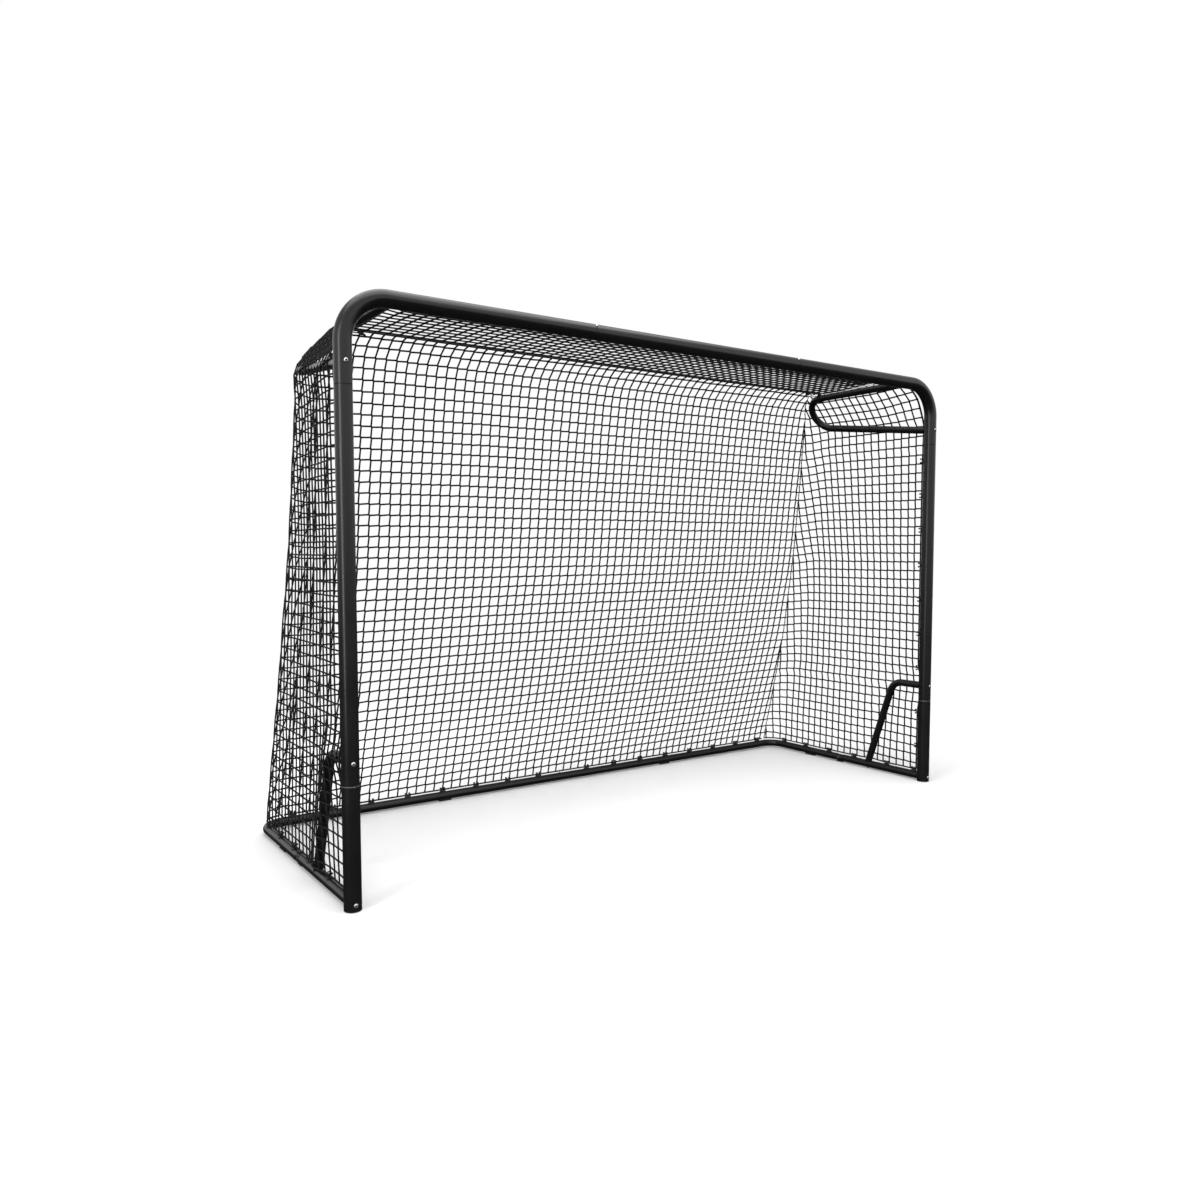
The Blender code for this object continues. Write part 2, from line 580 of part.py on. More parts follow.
def clip(centre, along, outward, r_tube, width=0.024):
    """Saddle that snaps on a tube, with a hook that curls round the edge cord."""
    s = Shape()
    c, t, o = Vector(centre), Vector(along).normalized(), Vector(outward).normalized()
    g = t.cross(o)
    angles = [math.radians(q) for q in (-42, -14, 14, 42)]
    # the flat facets of the saddle stay outside the round tube
    r0 = (r_tube + GAP) / math.cos(math.radians(14))
    r1 = r0 + SADDLE_T - GAP
    w = width / 2
    h = 0.0032

    def p(r, ang, x):
        return c + o * (r * math.cos(ang)) + g * (r * math.sin(ang)) + t * x

    inner = [s.ring([p(r0, q, x) for x in (-w, w)]) for q in angles]
    outer = [s.ring([p(r1, q, x) for x in ((-w, -h, h, w) if k in (1, 2) else (-w, w))]) for k, q in enumerate(angles)]
    for a, b in zip(inner, inner[1:]):
        s.f.append((a[0], b[0], b[1], a[1]))
    s.f.append((outer[0][0], outer[0][1], outer[1][3], outer[1][2], outer[1][1], outer[1][0]))
    s.f.append((outer[1][0], outer[1][1], outer[2][1], outer[2][0]))
    s.f.append((outer[1][2], outer[1][3], outer[2][3], outer[2][2]))
    s.f.append((outer[2][0], outer[2][1], outer[2][2], outer[2][3], outer[3][1], outer[3][0]))
    s.f.append((inner[0][0], inner[0][1], outer[0][1], outer[0][0]))
    s.f.append((inner[3][1], inner[3][0], outer[3][0], outer[3][1]))
    for e, k in ((0, 0), (1, -1)):
        s.f.append(tuple([q[e] for q in inner] + [q[k] for q in reversed(outer)]))
    prev = [outer[1][1], outer[2][1], outer[2][2], outer[1][2]]
    # the hook stands on the saddle as a lug, and the cord runs through it
    for out, half in ((r_tube + HOOK_OUT, 0.0062), (r_tube + HOOK_OUT + 0.0054, 0.0034)):
        mid = c + o * out
        ring = s.ring([mid - g * half - t * h, mid + g * half - t * h, mid + g * half + t * h, mid - g * half + t * h])
        s.bridge(prev, ring)
        prev = ring
    s.cap(prev)
    return s


def strand(points, r, n=6):
    """Cord through the given points, its ends closed."""
    pts = [Vector(q) for q in points]
    s = Shape()
    rings = []
    for k, q in enumerate(pts):
        t = (pts[min(k + 1, len(pts) - 1)] - pts[max(k - 1, 0)]).normalized()
        up = Vector((0.31, 0.17, 0.94)) if abs(t.z) < 0.8 else Vector((1, 0, 0))
        rings.append(s.ring(circle(q, t, (up - up.dot(t) * t), r, n)))
    for a, b in zip(rings, rings[1:]):
        s.bridge(a, b)
    s.cap(rings[0], flip=True)
    s.cap(rings[-1])
    return s


hook = Vector((POST_X, 0, GROUND_Z)) + Z * (R_GROUND + HOOK_OUT)       # on top of the ground tubes
post_lean = Vector((-0.10, 0.995, 0)).normalized()                    # just inside the back of the post
post_hook = Vector((POST_X, 0, 0)) + post_lean * (R_POST + HOOK_OUT)
back_hook = Vector((0, BACK_Y, GROUND_Z)) + Z * (R_GROUND + HOOK_OUT)
OUT_X = POST_X + 0.0225      # where the edge cord passes outside a brace

# on the front ground tubes: the cord passes outside the foot of the brace
path = [(hook.x, 0.044, hook.z), (hook.x, 0.240, hook.z), (OUT_X, 0.308, 0.0520), (OUT_X, 0.370, 0.0520),
        (hook.x, 0.421, hook.z), (hook.x, 0.449, hook.z)]
stub_clips = Shape()
for y in SIDE_CLIPS_FRONT:
    stub_clips.add(clip((POST_X, max(y, 0.0560), GROUND_Z), Y, Z, R_GROUND))
# on the rear side tubes
rear_path_pts = [(hook.x, 0.598, hook.z), (hook.x, 0.960, hook.z)]
side_clips = Shape()
for y in SIDE_CLIPS_REAR:
    side_clips.add(clip((POST_X, y, GROUND_Z), Y, Z, R_GROUND))
# on the backs of the posts: the cord passes outside the top of the brace
px, py = post_hook.x, post_hook.y
post_path = [(px, py, 0.163), (px, py, 0.362), (OUT_X, 0.0405, 0.440), (OUT_X, 0.0405, 0.522),
             (px, py, 0.552), (px, py, 1.606)]
post_clips = Shape()
for z in POST_CLIPS:
    post_clips.add(clip((POST_X, 0, z), Z, post_lean, R_POST, 0.022))
for name, route, hooks, parent in (("net_clips_stub", path, stub_clips, None),
                                   ("net_clips_rear_side", rear_path_pts, side_clips, pivot),
                                   ("net_clips_post", post_path, post_clips, None)):
    origin = route[0]
    strands = pair(name, strand(route, EDGE_R), PLASTIC, origin, parent)
    tools = pair(name + "_hooks", hooks, None, origin, parent, cutter=True, smooth=False)
    for ob, t in zip(strands, tools):
        fuse(ob, t, "hooks")
# on the back tube
back_clips = Shape()
for k in range(-8, 8):
    back_clips.add(clip(((k + 0.5) * CLIP_PITCH + (0.0575 if k >= 0 else -0.0575), BACK_Y, GROUND_Z),
                        X, Z, R_GROUND))
back_cord = make("net_clips_back", strand([(-1.365, back_hook.y, back_hook.z), (1.365, back_hook.y, back_hook.z)],
                                          EDGE_R), PLASTIC, back_hook, pivot)
back_tool = make("net_clips_back_hooks", back_clips, None, back_hook, pivot, cutter=True, smooth=False)
fuse(back_cord, back_tool, "hooks")
# on the back of the crossbar, between the two top arms
bar_lean = Vector((0, math.cos(BAR_LEAN), math.sin(BAR_LEAN)))
bar_hook = Vector((0, 0, BAR_Z)) + bar_lean * (R_POST + HOOK_OUT)
bar_clips = Shape()
for k in range(-BAR_CLIPS // 2, BAR_CLIPS // 2):
    bar_clips.add(clip(((k + 0.5) * BAR_CLIP_PITCH, 0, BAR_Z), X, bar_lean, R_POST))
bar_cord = make("net_clips_crossbar", strand([(-1.272, bar_hook.y, bar_hook.z), (1.272, bar_hook.y, bar_hook.z)],
                                             EDGE_R), PLASTIC, bar_hook)
bar_tool = make("net_clips_crossbar_hooks", bar_clips, None, bar_hook, cutter=True, smooth=False)
fuse(bar_cord, bar_tool, "hooks")

# ------------------------------------------------------------------ cord
cord = rod((-1.297, CORD_Y, CORD_Z), (1.297, CORD_Y, CORD_Z), CORD_R, 8, Z)
make("rear_top_cord", cord, NETTING, (0, CORD_Y, CORD_Z))


# ------------------------------------------------------------------ net
def sheet(grid, t):
    """Closed thin panel round a grid of points."""
    rows, cols = len(grid), len(grid[0])
    s = Shape()
    side = []
    for sign in (-1, 1):
        ids = []
        for i in range(rows):
            pts = []
            for j in range(cols):
                du = grid[min(i + 1, rows - 1)][j] - grid[max(i - 1, 0)][j]
                dv = grid[i][min(j + 1, cols - 1)] - grid[i][max(j - 1, 0)]
                pts.append(grid[i][j] + du.cross(dv).normalized() * (sign * t / 2))
            ids.append(s.ring(pts))
        side.append(ids)
    lo, hi = side
    for i in range(rows - 1):
        for j in range(cols - 1):
            s.f.append((lo[i][j], lo[i][j + 1], lo[i + 1][j + 1], lo[i + 1][j]))
            s.f.append((hi[i][j], hi[i + 1][j], hi[i + 1][j + 1], hi[i][j + 1]))
    for i in range(rows - 1):
        s.f.append((lo[i][0], lo[i + 1][0], hi[i + 1][0], hi[i][0]))
        s.f.append((lo[i][-1], hi[i][-1], hi[i + 1][-1], lo[i + 1][-1]))
    for j in range(cols - 1):
        s.f.append((lo[0][j], hi[0][j], hi[0][j + 1], lo[0][j + 1]))
        s.f.append((lo[-1][j], lo[-1][j + 1], hi[-1][j + 1], hi[-1][j]))
    return s


# side view of the top and back of the net, from the crossbar to the back tube
NET_PROFILE = ((0.0490, 1.9553), (0.2500, 1.9620), (0.5150, 1.9775), (0.5650, 1.9775), (0.6080, 1.9750),
               (0.6500, 1.9520), (0.6715, 1.9150), (0.6795, 1.8780), (0.6870, 1.8130), (0.7020, 1.7230),
               (0.7195, 1.5950), (0.7470, 1.3900), (0.7680, 1.2000), (0.7965, 1.0100), (0.8385, 0.8200),
               (0.8840, 0.6250), (0.9420, 0.4200), (1.0020, 0.2150), (1.0430, 0.0640))
# half width of the back panel by height: drawn in over the arms, widest at the ground
SEAM = ((0.052, 1.404), (0.690, 1.368), (1.037, 1.3475), (1.471, 1.344), (1.640, 1.3375), (1.801, 1.330),
        (1.930, 1.3015), (2.100, 1.3015))


def profile_y(z):
    """Depth of the net's back at height z."""
    pts = [p for p in NET_PROFILE if p[0] > 0.56]
    for (ya, za), (yb, zb) in zip(pts, pts[1:]):
        if za >= z >= zb:
            return ya + (yb - ya) * (za - z) / (za - zb)
    return pts[0][0] if z > pts[0][1] else pts[-1][0]


def seam_x(z):
    """Half width of the back panel, where it is laced to the side panels."""
    for (za, xa), (zb, xb) in zip(SEAM, SEAM[1:]):
        if za <= z <= zb:
            return xa + (xb - xa) * (z - za) / (zb - za)
    return SEAM[0][1] if z < SEAM[0][0] else SEAM[-1][1]


def smooth(a, b, x):
    q = min(max((x - a) / (b - a), 0.0), 1.0)
    return q * q * (3 - 2 * q)


back_grid = []
for y, z in NET_PROFILE:
    half = seam_x(z) if y > 0.56 else 1.3015
    row = []
    for f in (-1.0, -0.972, -0.90, 0.0, 0.90, 0.972, 1.0):
        x = half * f
        lift = max(1.9706 - z, 0.0) * smooth(1.13, 1.265, abs(x)) if y < 0.56 else 0.0
        row.append(Vector((x, y, z + lift)))
    back_grid.append(row)
make("net_back", sheet(back_grid, NET_T), NETTING, (0, 0, BAR_Z))

NET_OFF = 0.0212              # from the axis of an arm to the net that lies over it


def leg_at(y):
    """Axis of the top arm's lower leg at depth y, as (x, z)."""
    p = arm_a + ARM_SLOPE * (ARM_DROP - ARM_TAPER * min(y, 0.57))
    return p.x, p.z


def slope_x(z):
    """The part of the side panel that lies over the arm's plane."""
    return ARM_TOP_X + (NET_OFF - (z - BAR_Z) * ARM_N.z) / ARM_N.x


def hang_x(y, z):
    """The part that hangs from the lower leg to the ground tube, out over the brace."""
    lx, lz = leg_at(y)
    top = lx + NET_OFF
    base = top + (POST_X - 0.001 - top) * (lz - z) / (lz - 0.06)
    out = (1 - smooth(0.372, 0.475, y)) * (1 - smooth(0.512, 0.63, z))
    return base + (1.4930 - base) * out


def corner_z(y):
    """Where the hanging part meets the sloping part."""
    lx, lz = leg_at(y)
    x = lx + NET_OFF
    return BAR_Z - ((x - ARM_TOP_X) * ARM_N.x - NET_OFF) / ARM_N.z


levels = [("z", v) for v in (0.064, 0.28, 0.512, 0.63, 0.90, 1.22, 1.55)]
levels += [("leg", -0.030), ("corner", 0.0), ("slope", 0.30), ("slope", 0.60), ("slope", 0.82), ("slope", 1.0)]
side_grid = []
for kind, v in levels:
    row = []
    ys = (0.0485, 0.12, 0.24, 0.372, 0.475, 0.56)

    def point(y):
        if kind == "z":
            return Vector((hang_x(y, v), y, v))
        if kind == "leg":
            z = leg_at(y)[1] + v
            return Vector((hang_x(y, z), y, z))
        zc = corner_z(y)
        if kind == "corner":
            return Vector((slope_x(zc), y, zc))
        z = zc + (1.9640 - zc) * v
        return Vector((slope_x(z), y, z))

    row = [point(y) for y in ys]
    z = row[-1].z
    x0, yb, xs = row[-1].x, profile_y(z), seam_x(z) + 0.0035
    side_x = x0 if kind not in ("z", "leg") else None
    span = x0 - xs
    far = max(yb - 0.060, 0.5601)
    for dy, dx in ((0.30, 0.0), (1.0, 0.0)):
        y = 0.56 + (far - 0.56) * dy if dy < 1 else far
        if y > row[-1].y + 0.004:
            row.append(Vector((hang_x(y, z) if side_x is None else side_x, y, z)))
        else:
            row.append(Vector((row[-1].x, row[-1].y + 0.004, z)))
    x1, y1 = row[-1].x, row[-1].y
    for a, b in ((0.0, 0.66), (0.05, 0.93), (0.20, 1.0)):
        row.append(Vector((x1 - (x1 - xs) * a, y1 + (yb - y1) * b, z)))
    row.append(Vector((xs, yb, z)))
    side_grid.append(row)
pair("net_side", sheet(side_grid, NET_T), NETTING, (POST_X, 0, GROUND_Z))
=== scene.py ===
import math

import bpy
import numpy as np
from mathutils import Matrix, Vector


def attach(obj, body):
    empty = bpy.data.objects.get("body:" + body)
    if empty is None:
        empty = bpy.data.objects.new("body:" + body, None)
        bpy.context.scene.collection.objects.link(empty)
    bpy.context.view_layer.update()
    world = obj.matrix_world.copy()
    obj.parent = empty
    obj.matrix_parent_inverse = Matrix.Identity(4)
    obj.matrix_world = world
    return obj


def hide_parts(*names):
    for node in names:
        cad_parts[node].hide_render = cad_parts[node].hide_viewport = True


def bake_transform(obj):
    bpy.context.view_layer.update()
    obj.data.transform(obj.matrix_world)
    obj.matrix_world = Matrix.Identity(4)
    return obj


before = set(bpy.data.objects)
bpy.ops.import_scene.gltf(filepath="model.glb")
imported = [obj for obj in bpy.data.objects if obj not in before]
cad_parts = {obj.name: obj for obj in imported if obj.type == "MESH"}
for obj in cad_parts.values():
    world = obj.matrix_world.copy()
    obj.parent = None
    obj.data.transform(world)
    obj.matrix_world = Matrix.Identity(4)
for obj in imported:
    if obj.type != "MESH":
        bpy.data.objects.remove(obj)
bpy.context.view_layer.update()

SC = bpy.context.scene
RNG = np.random.default_rng(41)

# ---------------------------------------------------------------- sizes
# Everything is written from the goal line (y = 0 on the axis of the posts)
# and shifted by Y_MID when a mesh is made.
R_POST, R_ARM, R_GROUND, WALL = 0.029, 0.0175, 0.019, 0.0015
POST_X, BAR_Z, CORNER_R = 1.471, 1.951, 0.150
BAR_SEAM_X, UPPER_SEAM_Z, LOWER_SEAM_Z, SPIGOT = 0.527, 1.666, 0.404, 0.110
ARM_BOLT_Z, BRACE_BOLT_Z, STUB_BOLT_Z = 1.739, 0.480, 0.023
ARM_TOP_X, ARM_DROP, ARM_TAPER, ARM_BEND_R, ARM_BEND_Y = 1.300, 0.27237, 0.15, 0.094, 0.556
SLOPE = np.array((0.62782, 0.0, -0.77836))
ARM_N = np.array((0.77836, 0.0, 0.62782))
BRACE_BEND_Y, BRACE_BEND_R, BRACE_TURN = 0.1374, 0.070, math.radians(71.15)
GROUND_Z, BACK_Y, GROUND_BEND_R = 0.024, 1.046, 0.085
STUB_END_Y, STUB_SLANT, PIVOT_Y, REAR_TUBE_Y, BACK_SEAM_X = 0.5165, 0.342, 0.535, 0.555, 0.040
HEAD_R, HEAD_H = 0.0070, 0.0038
FOOT_BOLT_Y = 0.3395
CORD_Y, CORD_Z = 0.553, 1.9722
SIDE_CLIPS_FRONT = (0.056, 0.222, 0.436)
SIDE_CLIPS_REAR = (0.610, 0.783, 0.948)
POST_CLIPS = (1.594, 1.423, 1.252, 1.080, 0.909, 0.738, 0.567, 0.347, 0.175)
BACK_CLIPS = tuple(s * (0.1435 + 0.172 * k) for k in range(8) for s in (-1, 1))
BAR_CLIPS = tuple(s * (0.0888 + 0.1776 * k) for k in range(7) for s in (-1, 1))
Y_MID = 0.5 * ((BACK_Y + R_GROUND) - (R_POST + 0.0003 + HEAD_H))

X, Y, Z = np.eye(3)


def unit(v):
    v = np.asarray(v, float)
    return v / np.linalg.norm(v)


def smooth(a, b, x):
    q = np.clip((np.asarray(x, float) - a) / (b - a), 0.0, 1.0)
    return q * q * (3 - 2 * q)


# ---------------------------------------------------------------- materials
def new_mat(name):
    m = bpy.data.materials.new(name)
    m.use_nodes = True
    nt = m.node_tree
    bsdf = nt.nodes["Principled BSDF"]
    tc = nt.nodes.new("ShaderNodeTexCoord")
    return m, nt, bsdf, tc


def noise(nt, vector, scale, detail=4.0, rough=0.55):
    n = nt.nodes.new("ShaderNodeTexNoise")
    n.inputs["Scale"].default_value = scale
    n.inputs["Detail"].default_value = detail
    n.inputs["Roughness"].default_value = rough
    nt.links.new(vector, n.inputs["Vector"])
    return n


def ramp(nt, fac, stops):
    r = nt.nodes.new("ShaderNodeValToRGB")
    e = r.color_ramp.elements
    while len(e) < len(stops):
        e.new(0.5)
    for el, (p, c) in zip(e, stops):
        el.position = p
        el.color = (*c, 1.0) if hasattr(c, "__len__") else (c, c, c, 1.0)
    nt.links.new(fac, r.inputs["Fac"])
    return r


def remap(nt, fac, lo, hi, a=0.0, b=1.0):
    m = nt.nodes.new("ShaderNodeMapRange")
    m.inputs["From Min"].default_value = a
    m.inputs["From Max"].default_value = b
    m.inputs["To Min"].default_value = lo
    m.inputs["To Max"].default_value = hi
    nt.links.new(fac, m.inputs["Value"])
    return m


def bump(nt, height, bsdf, strength, distance):
    b = nt.nodes.new("ShaderNodeBump")
    b.inputs["Strength"].default_value = strength
    b.inputs["Distance"].default_value = distance
    nt.links.new(height, b.inputs["Height"])
    nt.links.new(b.outputs["Normal"], bsdf.inputs["Normal"])
    return b


def powder_coat(name):
    m, nt, p, tc = new_mat(name)
    v = tc.outputs["Object"]
    cloud = noise(nt, v, 9.0, 3.0)
    col = ramp(nt, cloud.outputs["Fac"], [(0.30, (0.0038, 0.0039, 0.0041)), (0.70, (0.0052, 0.0053, 0.0055))])
    grain = noise(nt, v, 520.0, 2.0, 0.5)
    mixed = nt.nodes.new("ShaderNodeMix")
    mixed.data_type = "RGBA"
    mixed.blend_type = "MULTIPLY"
    mixed.inputs["Factor"].default_value = 0.35
    tone = ramp(nt, grain.outputs["Fac"], [(0.30, 0.70), (0.70, 1.0)])
    nt.links.new(col.outputs["Color"], mixed.inputs["A"])
    nt.links.new(tone.outputs["Color"], mixed.inputs["B"])
    nt.links.new(mixed.outputs["Result"], p.inputs["Base Color"])
    ro = remap(nt, cloud.outputs["Fac"], 0.275, 0.325, 0.3, 0.7)
    nt.links.new(ro.outputs["Result"], p.inputs["Roughness"])
    p.inputs["IOR"].default_value = 1.43
    peel = noise(nt, v, 700.0, 2.0, 0.5)
    bump(nt, peel.outputs["Fac"], p, 0.05, 0.00025)
    return m


def steel(name, tone, rough, tint=(1.0, 1.0, 1.0)):
    m, nt, p, tc = new_mat(name)
    v = tc.outputs["Object"]
    g = noise(nt, v, 900.0, 3.0, 0.6)
    lo = tuple(tone * 0.82 * c for c in tint)
    hi = tuple(tone * c for c in tint)
    col = ramp(nt, g.outputs["Fac"], [(0.30, lo), (0.70, hi)])
    nt.links.new(col.outputs["Color"], p.inputs["Base Color"])
    p.inputs["Metallic"].default_value = 1.0
    ro = remap(nt, g.outputs["Fac"], rough - 0.05, rough + 0.08, 0.3, 0.7)
    nt.links.new(ro.outputs["Result"], p.inputs["Roughness"])
    bump(nt, g.outputs["Fac"], p, 0.08, 0.0001)
    return m


def plastic(name, tone, rough, grain_scale=1400.0, strength=0.18):
    m, nt, p, tc = new_mat(name)
    v = tc.outputs["Object"]
    g = noise(nt, v, grain_scale, 3.0, 0.6)
    cloud = noise(nt, v, 60.0, 2.0)
    col = ramp(nt, cloud.outputs["Fac"], [(0.30, tone * 0.75), (0.70, tone * 1.1)])
    nt.links.new(col.outputs["Color"], p.inputs["Base Color"])
    ro = remap(nt, g.outputs["Fac"], rough - 0.06, rough + 0.06, 0.3, 0.7)
    nt.links.new(ro.outputs["Result"], p.inputs["Roughness"])
    bump(nt, g.outputs["Fac"], p, strength, 0.00015)
    return m


def cord_mat(name, tone, rough=0.75, scale=1.0):
    """Twisted cord: fine oblique strands, broken up by noise."""
    m, nt, p, tc = new_mat(name)
    v = tc.outputs["Object"]
    w = nt.nodes.new("ShaderNodeTexWave")
    w.wave_type = "BANDS"
    w.bands_direction = "DIAGONAL"
    w.inputs["Scale"].default_value = 260.0 * scale
    w.inputs["Distortion"].default_value = 2.5
    w.inputs["Detail"].default_value = 2.0
    nt.links.new(v, w.inputs["Vector"])
    g = noise(nt, v, 1500.0, 3.0, 0.6)
    mx = nt.nodes.new("ShaderNodeMix")
    mx.data_type = "FLOAT"
    mx.inputs["Factor"].default_value = 0.45
    nt.links.new(w.outputs["Fac"], mx.inputs["A"])
    nt.links.new(g.outputs["Fac"], mx.inputs["B"])
    col = ramp(nt, mx.outputs["Result"], [(0.20, tone * 0.55), (0.80, tone * 1.25)])
    nt.links.new(col.outputs["Color"], p.inputs["Base Color"])
    ro = remap(nt, g.outputs["Fac"], rough - 0.08, rough + 0.08, 0.3, 0.7)
    nt.links.new(ro.outputs["Result"], p.inputs["Roughness"])
    p.inputs["Specular IOR Level"].default_value = 0.18
    bump(nt, mx.outputs["Result"], p, 0.35, 0.0004)
    return m


COAT = powder_coat("coat_charcoal")
STEEL = steel("steel_bright", 0.82, 0.33)
EDGE_STEEL = steel("steel_edge", 0.34, 0.50)
DARK = steel("steel_dark", 0.16, 0.38)
PLASTIC = plastic("plastic_black", 0.0045, 0.50)
INNER = plastic("plastic_inner", 0.012, 0.5)
RUBBER = plastic("rubber_black", 0.010, 0.68, 900.0, 0.35)
NETTING = cord_mat("cord_black", 0.0100, 0.75)
LACING = cord_mat("cord_grey", 0.165, 0.7, 1.5)


# ---------------------------------------------------------------- mesh building
class Build:
    """Points and faces, gathered in the goal-line frame."""

    def __init__(self):
        self.v, self.f, self.n = [], {}, 0

    def add(self, v, *faces):
        v = np.asarray(v, float).reshape(-1, 3)
        for f in faces:
            f = np.asarray(f, int)
            if f.size:
                self.f.setdefault(f.shape[1], []).append(f + self.n)
        self.v.append(v)
        self.n += len(v)
        return self

    def join(self, other, mirror=False):
        for v in other.v:
            self.v.append(v * (-1, 1, 1) if mirror else v)
        for k, fs in other.f.items():
            for f in fs:
                self.f.setdefault(k, []).append((f[:, ::-1] if mirror else f) + self.n)
        self.n += other.n
        return self

    def loft(self, rings, closed=False, caps=True):
        """Skins a list of rings of equal length."""
        rings = [np.asarray(r, float) for r in rings]
        n, m = len(rings[0]), len(rings)
        i = np.arange(n)
        j = (i + 1) % n
        quads = []
        for k in range(m if closed else m - 1):
            a, b = k * n, ((k + 1) % m) * n
            quads.append(np.stack((a + i, a + j, b + j, b + i), 1))
        faces = [np.concatenate(quads)]
        if caps and not closed:
            faces += [i[::-1][None], (m - 1) * n + i[None]]
        return self.add(np.concatenate(rings), *faces)

    def object(self, name, mat, body=None, node=(), slot=None, angle=35.0, flat=False):
        v = np.concatenate(self.v)
        v = v - (0.0, Y_MID, 0.0)
        me = bpy.data.meshes.new(name)
        loops, starts, total = [], [], 0
        for k in sorted(self.f):
            f = np.concatenate(self.f[k])
            loops.append(f.ravel())
            starts.append(total + np.arange(len(f)) * k)
            total += f.size
        loops, starts = np.concatenate(loops), np.concatenate(starts)
        me.vertices.add(len(v))
        me.vertices.foreach_set("co", v.ravel().astype(np.float32))
        me.loops.add(len(loops))
        me.loops.foreach_set("vertex_index", loops.astype(np.int32))
        me.polygons.add(len(starts))
        me.polygons.foreach_set("loop_start", starts.astype(np.int32))
        me.update(calc_edges=True)
        me.validate()
        if not flat:
            me.shade_smooth()
            if angle < 179:
                me.set_sharp_from_angle(angle=math.radians(angle))
        me.materials.append(mat)
        ob = bpy.data.objects.new(name, me)
        SC.collection.objects.link(ob)
        if body:
            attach(ob, body)
        if node:
            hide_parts(*([node] if isinstance(node, str) else node))
        return ob


def ring(centre, tangent, normal, r, n):
    t = unit(tangent)
    a = np.asarray(normal, float)
    a = unit(a - a.dot(t) * t)
    b = np.cross(t, a)
    w = np.arange(n) * 2 * math.pi / n
    return np.asarray(centre, float) + r * (np.cos(w)[:, None] * a + np.sin(w)[:, None] * b)


def onto_cylinder(pts, tangent, axis_point, axis_dir, r, last):
    d, a, o = unit(tangent), unit(axis_dir), np.asarray(axis_point, float)
    w = pts - o
    w = w - (w @ a)[:, None] * a
    e = d - d.dot(a) * a
    qa, qb, qc = e @ e, 2 * (w @ e), (w * w).sum(1) - r * r
    root = np.sqrt(np.maximum(qb * qb - 4 * qa * qc, 0.0))
    t = (-qb - root) / (2 * qa) if last else (-qb + root) / (2 * qa)
    return pts + t[:, None] * d


def hollow(stations, n, normal, cope0=None, cope1=None, edge=0.0005, shape1=None):
    """A tube with rounded rims: (centre, tangent, outer radius, inner radius)."""
    out = Build()
    rings = []

    def mk(k, r):
        c, t, _, _ = stations[k]
        pts = ring(c, t, normal, r, n)
        if k == 0 and cope0:
            pts = onto_cylinder(pts, t, *cope0, last=False)
        if k == len(stations) - 1 and cope1:
            pts = onto_cylinder(pts, t, *cope1, last=True)
        if k == len(stations) - 1 and shape1:
            pts = shape1(pts)
        return pts

    first, last = 0, len(stations) - 1
    t0, t1 = unit(stations[0][1]), unit(stations[-1][1])
    outer = [mk(k, s[2]) for k, s in enumerate(stations)]
    inner = [mk(k, s[3]) for k, s in enumerate(stations)]
    # rounded outer rim at both ends
    o0 = mk(0, stations[0][2] - edge)
    o1 = mk(last, stations[-1][2] - edge)
    outer[0] = outer[0] + t0 * edge
    outer[-1] = outer[-1] - t1 * edge
    rings = [o0] + outer + [o1] + inner[::-1]
    return out.loft(rings, closed=True)


def swaged(c, d, r, start=False):
    c, d = np.asarray(c, float), np.asarray(d, float)
    rs = r - WALL - 0.0003
    e = 0.0006
    body = [(c - d * 0.010, d, r, r - WALL), (c - d * e, d, r, r - WALL), (c, d, r - e, rs - WALL),
            (c + d * 0.0002, d, rs, rs - WALL), (c + d * SPIGOT, d, rs, rs - WALL)]
    if start:
        return [(p, -d, a, b) for p, _, a, b in reversed(body)]
    return body


def bend(centre, a, b, r, start, stop, steps):
    centre, a, b = (np.asarray(q, float) for q in (centre, a, b))
    s = 1 if stop > start else -1
    out = []
    for i in range(steps + 1):
        w = start + (stop - start) * i / steps
        out.append((centre + r * (math.cos(w) * a + math.sin(w) * b), s * (-math.sin(w) * a + math.cos(w) * b)))
    return out


def sweep(pts, r, n=8, up=None, caps=True, radii=None):
    """A cord along a line of points."""
    p = np.asarray(pts, float)
    t = np.empty_like(p)
    t[1:-1] = p[2:] - p[:-2]
    t[0], t[-1] = p[1] - p[0], p[-1] - p[-2]
    t /= np.linalg.norm(t, axis=1)[:, None]
    a = np.asarray(up if up is not None else ((0.31, 0.17, 0.94) if abs(t[0][2]) < 0.8 else (1.0, 0.0, 0.1)), float)
    w = np.arange(n) * 2 * math.pi / n
    rings = []
    for i, q in enumerate(p):
        a = a - a.dot(t[i]) * t[i]
        a /= np.linalg.norm(a)
        b = np.cross(t[i], a)
        rr = radii[i] if radii is not None else r
        rings.append(q + rr * (np.cos(w)[:, None] * a + np.sin(w)[:, None] * b))
    return Build().loft(rings, caps=caps)


def blob(c, r, ax=(0, 0, 1), stretch=1.0, n=10, m=6):
    """A rounded knot."""
    c, ax = np.asarray(c, float), unit(ax)
    up = (1.0, 0.2, 0.1) if abs(ax[0]) < 0.9 else (0.0, 1.0, 0.1)
    rings = []
    for i in range(m + 1):
        w = math.pi * (0.06 + 0.88 * i / m)
        rings.append(ring(c - ax * (r * stretch * math.cos(w)), ax, up, r * math.sin(w), n))
    return Build().loft(rings)


def both(name, build, mat, body, node, slot, **kw):
    """The right-hand piece and its mirror image."""
    made = []
    for side, mirror in (("right", False), ("left", True)):
        b = Build().join(build, mirror)
        made.append(b.object(f"{name}_{side}", mat, body,
                             [f"{q}_{side}" for q in ([node] if isinstance(node, str) else node)], slot, **kw))
    return made


NB, NS = 64, 48
GAP = 0.0003

